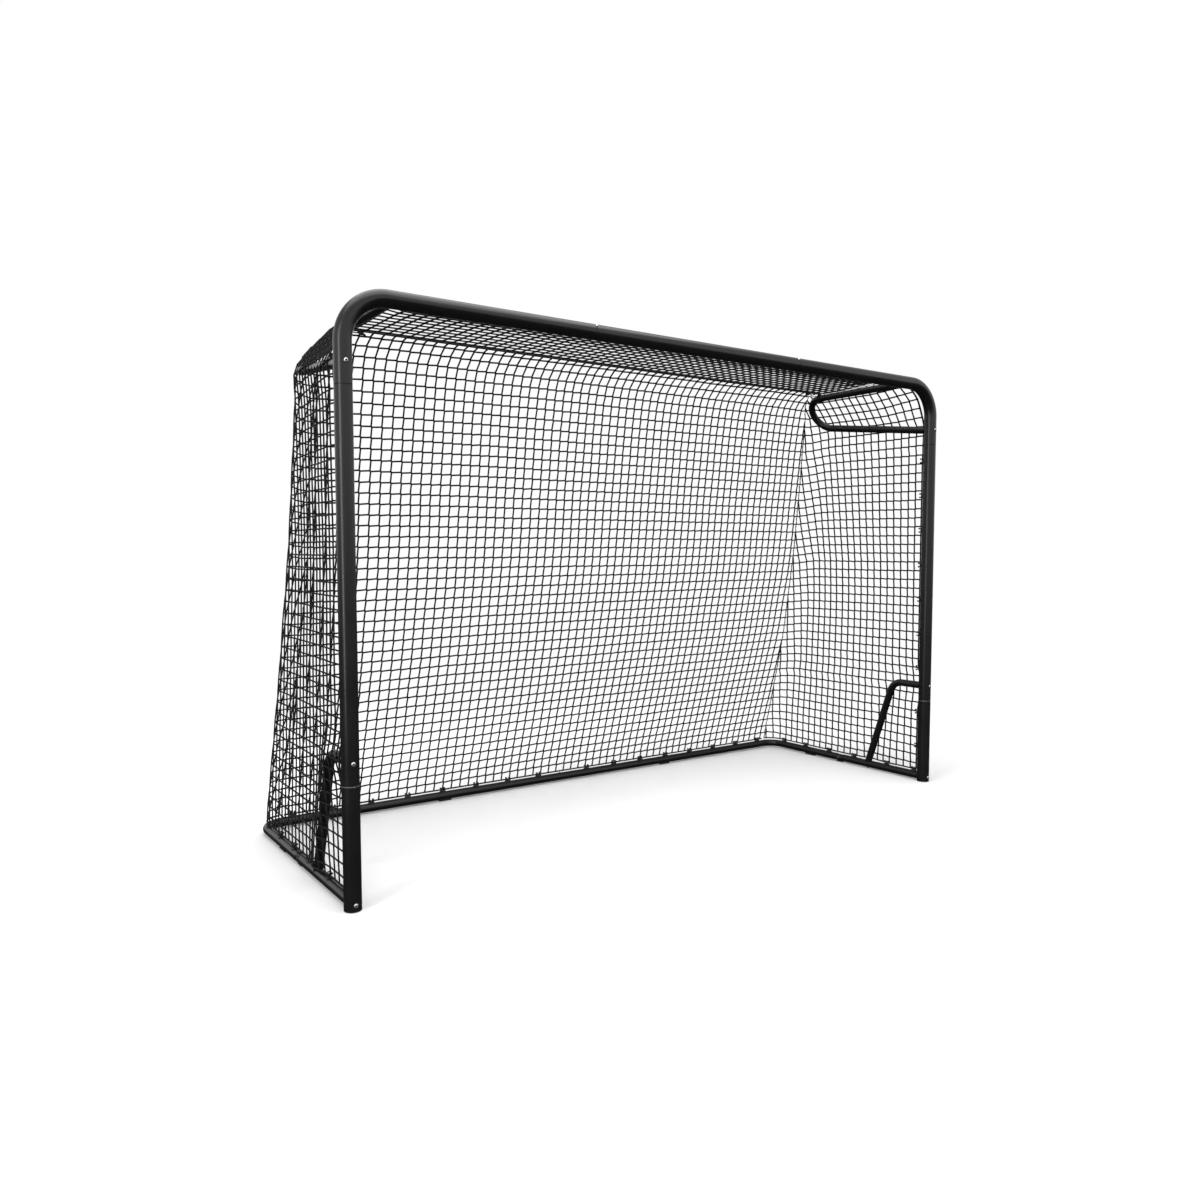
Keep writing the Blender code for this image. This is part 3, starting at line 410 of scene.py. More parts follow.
# ---------------------------------------------------------------- crossbar, corners, posts
ls = [(c, X, a, b) for c, _, a, b in swaged((-BAR_SEAM_X, 0, BAR_Z), -X, R_POST, start=True)]
bar_st = ls + [((x, 0, BAR_Z), X, R_POST, R_POST - WALL) for x in np.linspace(-0.45, 0.45, 9)]
bar_st += swaged((BAR_SEAM_X, 0, BAR_Z), X, R_POST)
bar_st = [(np.asarray(c, float), t, a, b) for c, t, a, b in bar_st]
hollow(bar_st, NB, Z, edge=0.0).object("crossbar_middle_tube", COAT, "goal_frame", "crossbar_middle", "powder_coat")

rin = R_POST - WALL
st = [(np.array((x, 0, BAR_Z)), X, R_POST, rin) for x in
      [BAR_SEAM_X + 0.0016] + list(np.linspace(BAR_SEAM_X + 0.01, POST_X - CORNER_R - 0.01, 8))]
st += [(c, t, R_POST, rin) for c, t in bend((POST_X - CORNER_R, 0, BAR_Z - CORNER_R), X, Z, CORNER_R, math.pi / 2, 0.0, 36)]
st += [(np.array((POST_X, 0, z)), -Z, R_POST, rin) for z in (1.745, 1.70, UPPER_SEAM_Z + 0.01, UPPER_SEAM_Z + 0.0019)]
both("corner_tube_bent", hollow(st, NB, Y, edge=0.0009), COAT, "goal_frame", "corner_tube", "powder_coat")

st = [(np.array((POST_X, 0, z)), Z, R_POST, rin) for z in
      [LOWER_SEAM_Z + 0.0019] + list(np.linspace(LOWER_SEAM_Z + 0.02, UPPER_SEAM_Z - 0.03, 12))]
st += swaged((POST_X, 0, UPPER_SEAM_Z), Z, R_POST)
both("post_middle_tube", hollow(st, NB, Y, edge=0.0009), COAT, "goal_frame", "post_middle", "powder_coat")

st = [(np.array((POST_X, 0, z)), Z, R_POST, rin) for z in [0.0033, 0.05, 0.12, 0.2, 0.3]]
st += swaged((POST_X, 0, LOWER_SEAM_Z), Z, R_POST)
both("post_lower_tube", hollow(st, NB, Y, edge=0.0007), COAT, "goal_frame", "post_lower", "powder_coat")

edge_rings = [ring((POST_X, 0, LOWER_SEAM_Z + z), Z, Y, R_POST + r, NB) for z, r in
              ((0.0013, -0.0012), (0.0013, -0.0003), (0.0016, 0.0002), (0.0032, 0.0002), (0.0035, -0.0001), (0.0035, -0.0012))]
both("post_joint_edge", Build().loft(edge_rings, closed=True), EDGE_STEEL, "goal_frame", (), "stainless_steel")

cap_rings = [ring((POST_X, 0, z), Z, Y, r, NB) for z, r in (
    (0.0, R_POST - 0.0022), (0.0004, R_POST - 0.0010), (0.0012, R_POST - 0.0002), (0.0024, R_POST), (0.0030, R_POST - 0.0004),
    (0.0030, rin - GAP), (0.046, rin - GAP), (0.046, rin - 0.0035), (0.006, rin - 0.0035))]
both("post_end_cap", Build().loft(cap_rings), PLASTIC, "goal_frame", "post_cap", "black_plastic")

# ---------------------------------------------------------------- top arms
arm_a = np.array((ARM_TOP_X, 0.0, BAR_Z))
last_turn = math.pi / 2 - math.atan(ARM_TAPER)
st = [(arm_a, Y, R_ARM, R_ARM - WALL)]
st += [(arm_a + Y * y, Y, R_ARM, R_ARM - WALL) for y in (0.06, 0.2, 0.35, 0.5)]
for i in range(41):
    w = -math.pi / 2 + (last_turn + math.pi / 2) * i / 40
    c = arm_a + SLOPE * (ARM_BEND_R + ARM_BEND_R * math.sin(w)) + Y * (ARM_BEND_Y + ARM_BEND_R * math.cos(w))
    st.append((c, SLOPE * math.cos(w) - Y * math.sin(w), R_ARM, R_ARM - WALL))
arm_foot = arm_a + SLOPE * ARM_DROP
arm_dir = unit(SLOPE * ARM_TAPER - Y)
end0 = st[-1][0]
for q in (0.25, 0.5, 0.75, 0.9):
    st.append((end0 + (arm_foot - end0) * q, arm_dir, R_ARM, R_ARM - WALL))
st.append((arm_foot, arm_dir, R_ARM, R_ARM - WALL))
ARM_LINE = np.array([q[0] for q in st])
both("top_arm_tube", hollow(st, NS, ARM_N, cope0=((0, 0, BAR_Z), X, R_POST + 0.0003),
                            cope1=((POST_X, 0, 0), Z, R_POST + 0.0003), edge=0.0004),
     COAT, "goal_frame", "top_arm", "powder_coat")

# ---------------------------------------------------------------- braces
bc = (POST_X, BRACE_BEND_Y, BRACE_BOLT_Z - BRACE_BEND_R)
st = [(np.array((POST_X, y, BRACE_BOLT_Z)), Y, R_ARM, R_ARM - WALL) for y in (0.0, 0.05, 0.10)]
bb = bend(bc, Y, Z, BRACE_BEND_R, math.pi / 2, math.pi / 2 - BRACE_TURN, 20)
st += [(c, t, R_ARM, R_ARM - WALL) for c, t in bb]
brace_dir, leg0 = unit(bb[-1][1]), bb[-1][0]
brace_foot = leg0 + brace_dir * ((leg0[2] - (GROUND_Z + R_GROUND)) / -brace_dir[2])
for q in (0.3, 0.6, 0.85):
    st.append((leg0 + (brace_foot - leg0) * q, brace_dir, R_ARM, R_ARM - WALL))
st.append((brace_foot, brace_dir, R_ARM, R_ARM - WALL))
both("brace_tube", hollow(st, NS, X, cope0=((POST_X, 0, 0), Z, R_POST + 0.0003),
                          cope1=((POST_X, 0, GROUND_Z), Y, R_GROUND + 0.0003), edge=0.0004),
     COAT, "goal_frame", "brace", "powder_coat")
BRACE_LINE = np.array([c for c, _, _, _ in st])[:, 1:]


# ---------------------------------------------------------------- ground frame
def slant(p):
    p = p.copy()
    p[:, 1] = STUB_END_Y + (GROUND_Z - p[:, 2]) * STUB_SLANT
    return p


gi = R_GROUND - WALL
st = [(np.array((POST_X, y, GROUND_Z)), Y, R_GROUND, gi) for y in (0.0, 0.06, 0.2, 0.35, 0.48, STUB_END_Y)]
both("ground_tube_front", hollow(st, NS, Z, cope0=((POST_X, 0, 0), Z, R_POST + 0.0003), shape1=slant, edge=0.0005),
     COAT, "goal_frame", "side_stub", "powder_coat")


def rear_path():
    c = (POST_X - GROUND_BEND_R, BACK_Y - GROUND_BEND_R, GROUND_Z)
    out = [(np.array((POST_X, y, GROUND_Z)), Y, R_GROUND, gi) for y in (REAR_TUBE_Y, 0.58, 0.7, 0.85, 0.94)]
    out += [(p, t, R_GROUND, gi) for p, t in bend(c, X, Y, GROUND_BEND_R, 0.0, math.pi / 2, 24)]
    out += [(np.array((x, BACK_Y, GROUND_Z)), -X, R_GROUND, gi) for x in (1.30, 1.1, 0.9, 0.7, 0.5, 0.3, 0.12)]
    return out


right = [(c, t, a, b) for c, t, a, b in rear_path() + swaged((BACK_SEAM_X, BACK_Y, GROUND_Z), -X, R_GROUND)]
hollow(right, NS, Z, edge=0.0005).object("ground_tube_rear_right", COAT, "rear_frame", "rear_tube_right", "powder_coat")
left = rear_path() + [(np.array((x, BACK_Y, GROUND_Z)), -X, R_GROUND, gi) for x in (0.0, -BACK_SEAM_X + 0.0007)]
Build().join(hollow(left, NS, Z, edge=0.0006), mirror=True).object(
    "ground_tube_rear_left", COAT, "rear_frame", "rear_tube_left", "powder_coat")


# ---------------------------------------------------------------- bolts and screws
def button(head_at, into, r, h, shank_r, length, normal, n=36):
    """Domed button head with a hexagon socket."""
    c, d = np.asarray(head_at, float), unit(into)
    prof = [(0.0, r - 0.0004), (0.0003, r), (h * 0.22, r), (h * 0.42, r * 0.965), (h * 0.62, r * 0.88),
            (h * 0.80, r * 0.76), (h * 0.93, r * 0.62), (h * 0.985, r * 0.52)]
    rings = [ring(c + d * length, -d, normal, shank_r * 0.80, n), ring(c + d * (length - shank_r * 0.3), -d, normal, shank_r, n),
             ring(c + d * 0.0001, -d, normal, shank_r, n)]
    rings += [ring(c - d * a, -d, normal, b, n) for a, b in prof]

    def hexa(depth, rad):
        q = ring(c - d * (h - depth), -d, normal, 1.0, n)
        mid = c - d * (h - depth)
        w = (np.arange(n) * 360.0 / n) % 60.0 - 30.0
        k = rad / np.cos(np.radians(w))
        return mid + (q - mid) * k[:, None]

    a = r * 0.50
    rings += [hexa(0.0, a * 1.10), hexa(0.0003, a), hexa(h * 0.95, a), ring(c - d * (h * 0.02), -d, normal, a * 0.30, n)]
    return Build().loft(rings)


def bolt_shadow(head_at, into, r, h, normal, n=36):
    """Dark ring under a head and a dark fill in the bottom of its socket: painted contact shadow and painted shade in
    the socket.
    """
    c, d = np.asarray(head_at, float), unit(into)
    out = Build().loft([ring(c - d * q, -d, normal, k, n) for q, k in
                        ((-0.0001, r + 0.0022), (0.0003, r + 0.0026), (0.0009, r + 0.0023), (0.0012, r + 0.0002), (0.0002, r * 0.6))])
    out.loft([ring(c - d * q, -d, normal, k, 6) for q, k in ((h * 0.10, r * 0.48), (h * 0.78, r * 0.48), (h * 0.84, r * 0.44))])
    return out


for name, z in (("arm_bolt", ARM_BOLT_Z), ("brace_bolt", BRACE_BOLT_Z), ("stub_bolt", STUB_BOLT_Z)):
    head = (POST_X, -R_POST - GAP, z)
    both(name + "_stainless", button(head, Y, HEAD_R, HEAD_H, 0.0040, 0.086, (0.3, 0, 1.0)), STEEL, "goal_frame",
         name, "stainless_steel")
    # dark rings round the heads and dark fills in the sockets are painted shadow, not real washers
    both(name + "_painted_shadow", bolt_shadow(head, Y, HEAD_R, HEAD_H, (0.3, 0, 1.0)), RUBBER, "goal_frame", (), "pad_rubber")
head = (POST_X, FOOT_BOLT_Y, GROUND_Z - R_GROUND - GAP)
both("brace_foot_bolt_head", button(head, Z, 0.0052, 0.0036, 0.0030, 0.060, Y, 24), DARK, "goal_frame",
     "brace_foot_bolt", "dark_steel")
out_dir = unit((0, -1, 1))
bar_c = np.array((BAR_SEAM_X, 0, BAR_Z)) + out_dir * (R_POST + GAP)
both("crossbar_screw_stainless", button(bar_c, -out_dir, 0.0050, 0.0028, 0.0025, 0.0090, X, 30), STEEL, "goal_frame",
     "crossbar_screw", "stainless_steel")
button((-0.020, BACK_Y, GROUND_Z + R_GROUND + GAP), -Z, 0.0048, 0.0026, 0.0024, 0.0080, X, 24).object(
    "back_joint_screw_head", DARK, "rear_frame", "back_joint_screw", "dark_steel")


# ---------------------------------------------------------------- net clips and edge cords
EDGE_R = 0.0036
HOOK_OUT = 0.0090


def clip(centre, along, outward, r_tube, width, hook_out=HOOK_OUT, spread=0.0084, flip=False):
    """Moulded saddle on a tube, with two hooks that curl round the edge cord."""
    out = Build()
    c, t, o = np.asarray(centre, float), unit(along), unit(outward)
    g = np.cross(t, o)
    r0, r1 = r_tube + 0.0003, r_tube + 0.0028
    half = math.radians(44)
    # saddle: a rounded strip bent round the tube
    rings = []
    m = 16
    for i in range(m + 1):
        w = -half + 2 * half * i / m
        e = o * math.cos(w) + g * math.sin(w)
        taper = 1.0 if 1 < i < m - 1 else (0.93 if i in (1, m - 1) else 0.80)
        hw = width / 2 * taper
        k = 0.0007
        rings.append(np.array([c + e * (r0 + k) + t * -hw, c + e * r0 + t * (-hw + k), c + e * r0 + t * (hw - k),
                               c + e * (r0 + k) + t * hw, c + e * (r1 - k) + t * hw, c + e * r1 + t * (hw - k),
                               c + e * r1 + t * (-hw + k), c + e * (r1 - k) + t * -hw]))
    out.loft(rings)
    # raised pad under the hooks
    rings = []
    for rr, hw, hg in ((r1 - 0.0006, width * 0.46, 0.0068), (r1 + 0.0012, width * 0.44, 0.0060), (r1 + 0.0020, width * 0.38, 0.0048)):
        rings.append(np.array([c + o * rr + t * sx * hw + g * sg * hg for sx, sg in ((-1, -1), (1, -1), (1, 1), (-1, 1))]))
    out.loft(rings)
    # hooks
    mid = c + o * (r_tube + hook_out)
    big, thin = EDGE_R + 0.0044, 0.0024
    for s in (-1, 1):
        pts, rad = [], []
        for i in range(15):
            w = math.radians(-150 + 285 * i / 14)
            if flip:
                w = math.pi - w
            pts.append(mid + t * s * spread + (o * math.sin(w) + g * math.cos(w)) * big)
            rad.append(thin * (1.15 if i < 4 else 1.0 if i < 12 else 1.25))
        start = c + o * (r1 + 0.0004) + t * s * spread + (pts[0] - mid - t * s * spread) * 0.6
        out.join(sweep([start] + pts, 0, 8, up=t, radii=[thin * 1.3] + rad))
        out.join(blob(pts[-1], thin * 1.8, g, 1.0, 10, 6))
    return out


hook = np.array((POST_X, 0, GROUND_Z)) + Z * (R_GROUND + HOOK_OUT)
post_lean = unit((-0.10, 0.995, 0))
post_hook = np.array((POST_X, 0, 0)) + post_lean * (R_POST + HOOK_OUT)
back_hook = np.array((0, BACK_Y, GROUND_Z)) + Z * (R_GROUND + HOOK_OUT)
bar_lean = np.array((0, math.cos(math.radians(6)), math.sin(math.radians(6))))
bar_hook = np.array((0, 0, BAR_Z)) + bar_lean * (R_POST + HOOK_OUT)
OUT_X = POST_X + 0.0225
STUB_PATH = np.array([(hook[0], 0.044, hook[2]), (hook[0], 0.240, hook[2]), (OUT_X, 0.308, 0.0520),
                      (OUT_X, 0.370, 0.0520), (hook[0], 0.421, hook[2]), (hook[0], 0.449, hook[2])])
POST_PATH = np.array([(post_hook[0], post_hook[1], 0.163), (post_hook[0], post_hook[1], 0.362), (OUT_X, 0.0405, 0.440),
                      (OUT_X, 0.0405, 0.522), (post_hook[0], post_hook[1], 0.552), (post_hook[0], post_hook[1], 1.606)])


def fine(path, step=0.02, soften=0.018):
    """Evenly spaced points along a polyline, its corners eased."""
    p = np.asarray(path, float)
    s = np.concatenate([[0], np.cumsum(np.linalg.norm(np.diff(p, axis=0), axis=1))])
    k = max(int(round(s[-1] / step)), 2)
    q = np.linspace(0, s[-1], k + 1)
    out = np.stack([np.interp(q, s, p[:, i]) for i in range(3)], 1)
    for _ in range(2):
        mid = (out[:-2] + 2 * out[1:-1] + out[2:]) / 4
        out[1:-1] = mid
    return out


stub_clips = Build()
for y in SIDE_CLIPS_FRONT:
    stub_clips.join(clip((POST_X, y, GROUND_Z), Y, Z, R_GROUND, 0.025))
both("net_clips_ground_front", stub_clips, PLASTIC, "goal_frame", "net_clips_stub", "black_plastic")
rear_clips = Build()
for y in SIDE_CLIPS_REAR:
    rear_clips.join(clip((POST_X, y, GROUND_Z), Y, Z, R_GROUND, 0.025))
both("net_clips_ground_rear", rear_clips, PLASTIC, "rear_frame", "net_clips_rear_side", "black_plastic")
post_clips = Build()
for z in POST_CLIPS:
    post_clips.join(clip((POST_X, 0, z), Z, post_lean, R_POST, 0.022, flip=True))
both("net_clips_on_post", post_clips, PLASTIC, "goal_frame", "net_clips_post", "black_plastic")
back_clips = Build()
for x in BACK_CLIPS:
    back_clips.join(clip((x, BACK_Y, GROUND_Z), X, Z, R_GROUND, 0.025))
back_clips.object("net_clips_on_back_tube", PLASTIC, "rear_frame", "net_clips_back", "black_plastic")
bar_clips = Build()
for x in BAR_CLIPS:
    bar_clips.join(clip((x, 0, BAR_Z), X, bar_lean, R_POST, 0.024))
bar_clips.object("net_clips_on_crossbar", PLASTIC, "goal_frame", "net_clips_crossbar", "black_plastic")

# ---------------------------------------------------------------- net surface
PITCH = 0.0441               # between columns of the back and top
PROFILE = np.array([
    (0.0378, 1.9552), (0.070, 1.9572), (0.110, 1.9600), (0.150, 1.9635), (0.193, 1.9678), (0.240, 1.9706),
    (0.300, 1.9716), (0.420, 1.9716), (0.525, 1.9718), (0.540, 1.9734), (0.553, 1.9766),
    (0.580, 1.9728), (0.600, 1.9635), (0.618, 1.9460), (0.636, 1.9220), (0.6530, 1.8900), (0.6625, 1.8500),
    (0.6715, 1.8133), (0.6790, 1.7675), (0.6865, 1.7231), (0.6930, 1.6822), (0.6985, 1.6396), (0.7035, 1.5956),
    (0.7180, 1.4850), (0.7310, 1.3900), (0.7405, 1.3000), (0.7520, 1.2000), (0.7640, 1.1100), (0.7805, 1.0100),
    (0.8010, 0.9200), (0.8225, 0.8200), (0.8430, 0.7200), (0.8680, 0.6250), (0.8970, 0.5200), (0.9260, 0.4200),
    (0.9550, 0.3200), (0.9860, 0.2150), (1.0160, 0.1150), (1.0300, 0.0520)])
AT_CORD = 10                 # the point of the profile over the rear-top cord
# below that cord the back hangs a little further out
PROFILE[AT_CORD + 1:, 0] += 0.016 * np.clip((1.97 - PROFILE[AT_CORD + 1:, 1]) / 0.07, 0, 1)
PS = np.concatenate([[0], np.cumsum(np.linalg.norm(np.diff(PROFILE, axis=0), axis=1))])
S_CORD = PS[AT_CORD]
S_END = PS[-1]


def prof(s):
    return np.interp(s, PS, PROFILE[:, 0]), np.interp(s, PS, PROFILE[:, 1])


def seam_x(z):
    """Half width of the back panel: drawn in at the rear-top cord, wider towards the ground."""
    return np.interp(z, [0.052, 0.690, 1.037, 1.471, 1.640, 1.801, 1.875, 1.925, 1.962],
                     [1.404, 1.368, 1.3475, 1.344, 1.3375, 1.330, 1.318, 1.297, 1.2635])


def fuller(z):
    """How far the net is pushed back beside the arms."""
    return np.interp(z, [1.84, 1.875, 1.90, 1.93, 1.955, 1.975], [0.0, 0.001, 0.005, 0.011, 0.003, 0.0])


TOP_ROWS = 12                # rows before the one at the rear-top cord
N_ROWS = 59                  # 12 on top, 1 at the cord, 46 down the back


def row_height(i):
    """Rows 14 and up hang at even steps, closer together just below the cord and at the ground."""
    return np.interp(i, [14, 15, 16, 17, 30, 40, 50, 55, 57, 58], [1.9366, 1.9009, 1.8604, 1.8178, 1.2543, 0.8206, 0.3874, 0.1707, 0.0893, 0.0520])


ROW_S = [S_CORD + 0.0132 - 0.0438 * k for k in range(12, 0, -1)]
ROW_S[0] = 0.0
ROW_S += [S_CORD + 0.0070]
below_cord = [float(np.interp(-row_height(i), -PROFILE[AT_CORD:, 1], PS[AT_CORD:])) for i in range(14, N_ROWS)]
ROW_S += [0.5 * (ROW_S[-1] + below_cord[0])] + below_cord
ROW_S = np.array(ROW_S)
ROW_Y, ROW_Z = prof(ROW_S)


def off_arm(pts, gap=0.0030):
    """Points of the right-hand side, pushed out of the top arm where they come too near its axis."""
    p = np.atleast_2d(np.asarray(pts, float)).copy()
    a, b = ARM_LINE[:-1], ARM_LINE[1:]
    ab = b - a
    t = np.clip(((p[:, None] - a) * ab).sum(2) / (ab * ab).sum(1), 0, 1)
    near = a + ab * t[..., None]
    d = np.linalg.norm(p[:, None] - near, axis=2)
    j = d.argmin(1)
    k = np.arange(len(p))
    dist, foot_pt = d[k, j], near[k, j]
    want = R_ARM + gap
    m = (dist < want) & (dist > 1e-6)
    p[m] = foot_pt[m] + (p[m] - foot_pt[m]) * (want / dist[m])[:, None]
    return p if np.ndim(pts) == 2 else p[0]


def both_arms(p):
    """The same, on either side."""
    p = np.asarray(p, float)
    s = np.array((1.0 if p[0] >= 0 else -1.0, 1.0, 1.0))
    return off_arm(p * s) * s


def wander(p, salt):
    """Slow unevenness of a knotted net, in metres, along its rows and columns."""
    x, y, z = p
    a = math.sin(7.1 * x + 5.3 * y + 9.7 * z + salt) + 0.6 * math.sin(17.0 * x - 13.0 * y + 11.0 * z + 2.1 * salt)
    b = math.sin(8.3 * z - 6.1 * x + 4.9 * y + 1.7 * salt) + 0.6 * math.sin(15.0 * z + 19.0 * x - 9.0 * y + salt)
    return 0.0006 * a, 0.0006 * b


def top_sag(x):
    """The top and its rear cord hang a little in the middle."""
    return 0.0030 * math.cos(0.5 * math.pi * min(abs(x) / 1.26, 1.0))


def tent(y):
    """How far the net stands off the arm between the crossbar and the bend."""
    return 0.0120 * smooth(0.0, 0.07, y) * (1 - smooth(0.14, 0.44, y))


def back_point(i, x):
    """Row i of the top-and-back panel at x."""
    y, z = ROW_Y[i], ROW_Z[i]
    ax = abs(x)
    if i < TOP_ROWS:
        arm_top = BAR_Z + R_ARM + 0.0022 + tent(y)
        q = smooth(1.17, 1.287, ax)
        z = z + max(arm_top - z, 0.0) * q * (smooth(0.02, 0.08, y))
        if i == 0:
            z = ROW_Z[0]
        z -= top_sag(x) * smooth(0.04, 0.20, y)
    else:
        y = y + fuller(z) * smooth(1.05, 1.29, ax)
    return np.array((x, y, z))


def leg_at(y):
    d = ARM_DROP - ARM_TAPER * np.minimum(y, 0.57)
    return ARM_TOP_X + SLOPE[0] * d, BAR_Z + SLOPE[2] * d


NET_OFF = 0.0205


def slope_x(z):
    return ARM_TOP_X + (NET_OFF - (z - BAR_Z) * ARM_N[2]) / ARM_N[0]


def corner_z(y):
    lx, _ = leg_at(y)
    return BAR_Z - ((lx + NET_OFF - ARM_TOP_X) * ARM_N[0] - NET_OFF) / ARM_N[2]


def brace_dist(y, z):
    """Distance from a point to the brace's line, in the plane of the side."""
    p = np.array((y, z))
    a, b = BRACE_LINE[:-1], BRACE_LINE[1:]
    ab = b - a
    t = np.clip(((p - a) * ab).sum(1) / (ab * ab).sum(1), 0, 1)
    return np.linalg.norm(a + ab * t[:, None] - p, axis=1).min()


def edge_x_post(z):
    return np.interp(z, POST_PATH[:, 2], POST_PATH[:, 0])


def edge_x_ground(y):
    return np.interp(y, STUB_PATH[:, 1], STUB_PATH[:, 0])


def hang_x(y, z):
    """The side panel below the lower leg of the arm."""
    lx, lz = leg_at(y)
    top = lx + NET_OFF
    low = POST_X + 0.001
    base = top + (low + 0.002 - top) * (lz - z) / (lz - 0.05)
    base = base - 0.0065 * smooth(0.0, 0.12, lz - z) * (1 - smooth(0.50, 1.05, lz - z))
    if y < 0.13:                                    # drawn in to the edge cord at the post
        k = 1 - smooth(0.037, 0.13, y)
        base = base + (post_hook[0] + 0.001 - base) * k * (1 - smooth(1.62, 1.74, z))
    if z < 0.13:
        k = 1 - smooth(0.047, 0.13, z)
        base = base + (low - base) * k
    d = brace_dist(y, z)
    out = max(0.0, 1 - max(d - 0.008, 0.0) / 0.115) ** 1.5
    return base + max(POST_X + R_ARM + 0.0030 - base, 0.0) * out


# front edge of the side panel, above the highest clip: it bulges along the corner tube
FRONT_EDGE = np.array([(post_hook[0], post_hook[1], 1.594), (1.4685, 0.0370, 1.6370), (1.4700, 0.0358, 1.6800), (1.4725, 0.0345, 1.7235),
                       (1.4755, 0.0340, 1.7665), (1.4590, 0.0345, 1.8080), (1.4410, 0.0350, 1.8500), (1.4210, 0.0360, 1.8920),
                       (1.3890, 0.0370, 1.9210), (1.3490, 0.0390, 1.9500), (1.3080, 0.0410, 1.9700)])
FRONT_S = np.concatenate([[0], np.cumsum(np.linalg.norm(np.diff(FRONT_EDGE, axis=0), axis=1))])
SIDE_ROWS = 46               # row 36 is the last one tied to the post
LAST_TIED = 36
ROW_STEP = 0.0440


def front_point(k):
    if k <= LAST_TIED:
        z = hook[2] if k == 0 else 0.127 + ROW_STEP * (k - 2)
        if z > FRONT_EDGE[0, 2]:
            return np.array([np.interp(z, FRONT_EDGE[:, 2], FRONT_EDGE[:, i]) for i in range(3)])
        return np.array((edge_x_post(z), post_hook[1] if not 0.40 < z < 0.545 else 0.0400, z))
    s36 = float(np.interp(front_point(LAST_TIED)[2], FRONT_EDGE[:5, 2], FRONT_S[:5]))
    s = s36 + (FRONT_S[-1] - s36) * (k - LAST_TIED) / (SIDE_ROWS - 1 - LAST_TIED)
    return np.array([np.interp(s, FRONT_S, FRONT_EDGE[:, i]) for i in range(3)])


def side_level(k, y):
    """Height and x of row k of the side panel at depth y, up to the arm's bend."""
    f = front_point(k)
    if k <= LAST_TIED:
        z = f[2] + 0.001 * smooth(0.05, 0.5, y) * (k > 0)
        return float(hang_x(y, z)), float(z)
    z36 = front_point(LAST_TIED)[2] + 0.001
    q = (k - LAST_TIED) / (SIDE_ROWS - 1 - LAST_TIED)
    zc = corner_z(y)
    hang = zc - z36
    slope_len = (1.9680 - zc) / ARM_N[0]
    s = q * (hang + slope_len)
    if s < hang:
        z = z36 + s
        x = hang_x(y, z)
    else:
        z = zc + (s - hang) * ARM_N[0]
        x = slope_x(z)
    # ease the fold over the lower leg
    near = abs(s - hang)
    if near < 0.02:
        e = (0.02 - near) * 0.18
        x, z = x - e * 0.9, z - e * 0.25
    z = z + tent(y) * smooth(1.925, 1.968, z)
    w = 1 - smooth(0.02, 0.30, y)
    fz = f[2]
    x = x + (f[0] - x) * w
    z = z + (fz - z) * w
    return float(x), float(z)


def side_row(k):
    """Points along row k, from the post to the seam."""
    f = front_point(k)
    i = N_ROWS - 1 - k
    yb0, zb = ROW_Y[i], ROW_Z[i]
    xs = float(seam_x(zb))
    yb = yb0 + float(fuller(zb)) * 1.0
    pts = [f]
    # the turn is tight at the ground and wide just below the arm, whose bend it follows
    depth = float(np.interp(k, [0, 10, 24, 36, 38, 40, 42, 44, 45], [0.088, 0.088, 0.096, 0.122, 0.130, 0.118, 0.078, 0.050, 0.042]))
    y_turn = yb - depth
    y_flat = min(y_turn, 0.56) if k > 36 else y_turn
    ys = np.linspace(f[1], y_flat, max(int((y_flat - f[1]) / 0.012), 4))[1:]
    for y in ys:
        x, z = side_level(k, y)
        pts.append(np.array((x, y, z)))
    x1, y1, z1 = pts[-1]
    # round the corner to the seam
    if y_turn > y1 + 0.002:
        for q in np.linspace(0, 1, 6)[1:]:
            y = y1 + (y_turn - y1) * q
            xx = x1 if k > 36 else hang_x(y, z1)
            pts.append(np.array((xx, y, z1)))
        x1, y1, z1 = pts[-1]
    n = 14
    for j in range(1, n + 1):
        w = math.pi / 2 * j / n
        pts.append(np.array((xs + (x1 - xs) * math.cos(w) ** 0.92, y1 + (yb - y1) * math.sin(w) ** 0.92, 0.0)))
        pts[-1][2] = z1 + (zb - z1) * smooth(0, 1, j / n)
    pts[-1] = np.array((xs, yb, zb))
    # heights ease from the side to the back over the whole turn
    p = off_arm(np.array(pts))
    s = np.concatenate([[0], np.cumsum(np.linalg.norm(np.diff(p, axis=0), axis=1))])
    return p, s


def side_pitch(k):
    """Between columns of the side panel: it is gathered a little half way up."""
    return float(np.interp(k, [0, 4, 8, 12, 20, 24, 30, 36, 38, 45], [0.0433, 0.0429, 0.0421, 0.0413, 0.0402, 0.0400, 0.0417, 0.0435, 0.0441, 0.0443]))


def side_start(k):
    return float(np.interp(k, [0, 36, 40, 45], [0.0385, 0.0400, 0.0520, 0.0450]))


def along(p, s, u):
    return np.array([np.interp(u, s, p[:, i]) for i in range(3)])


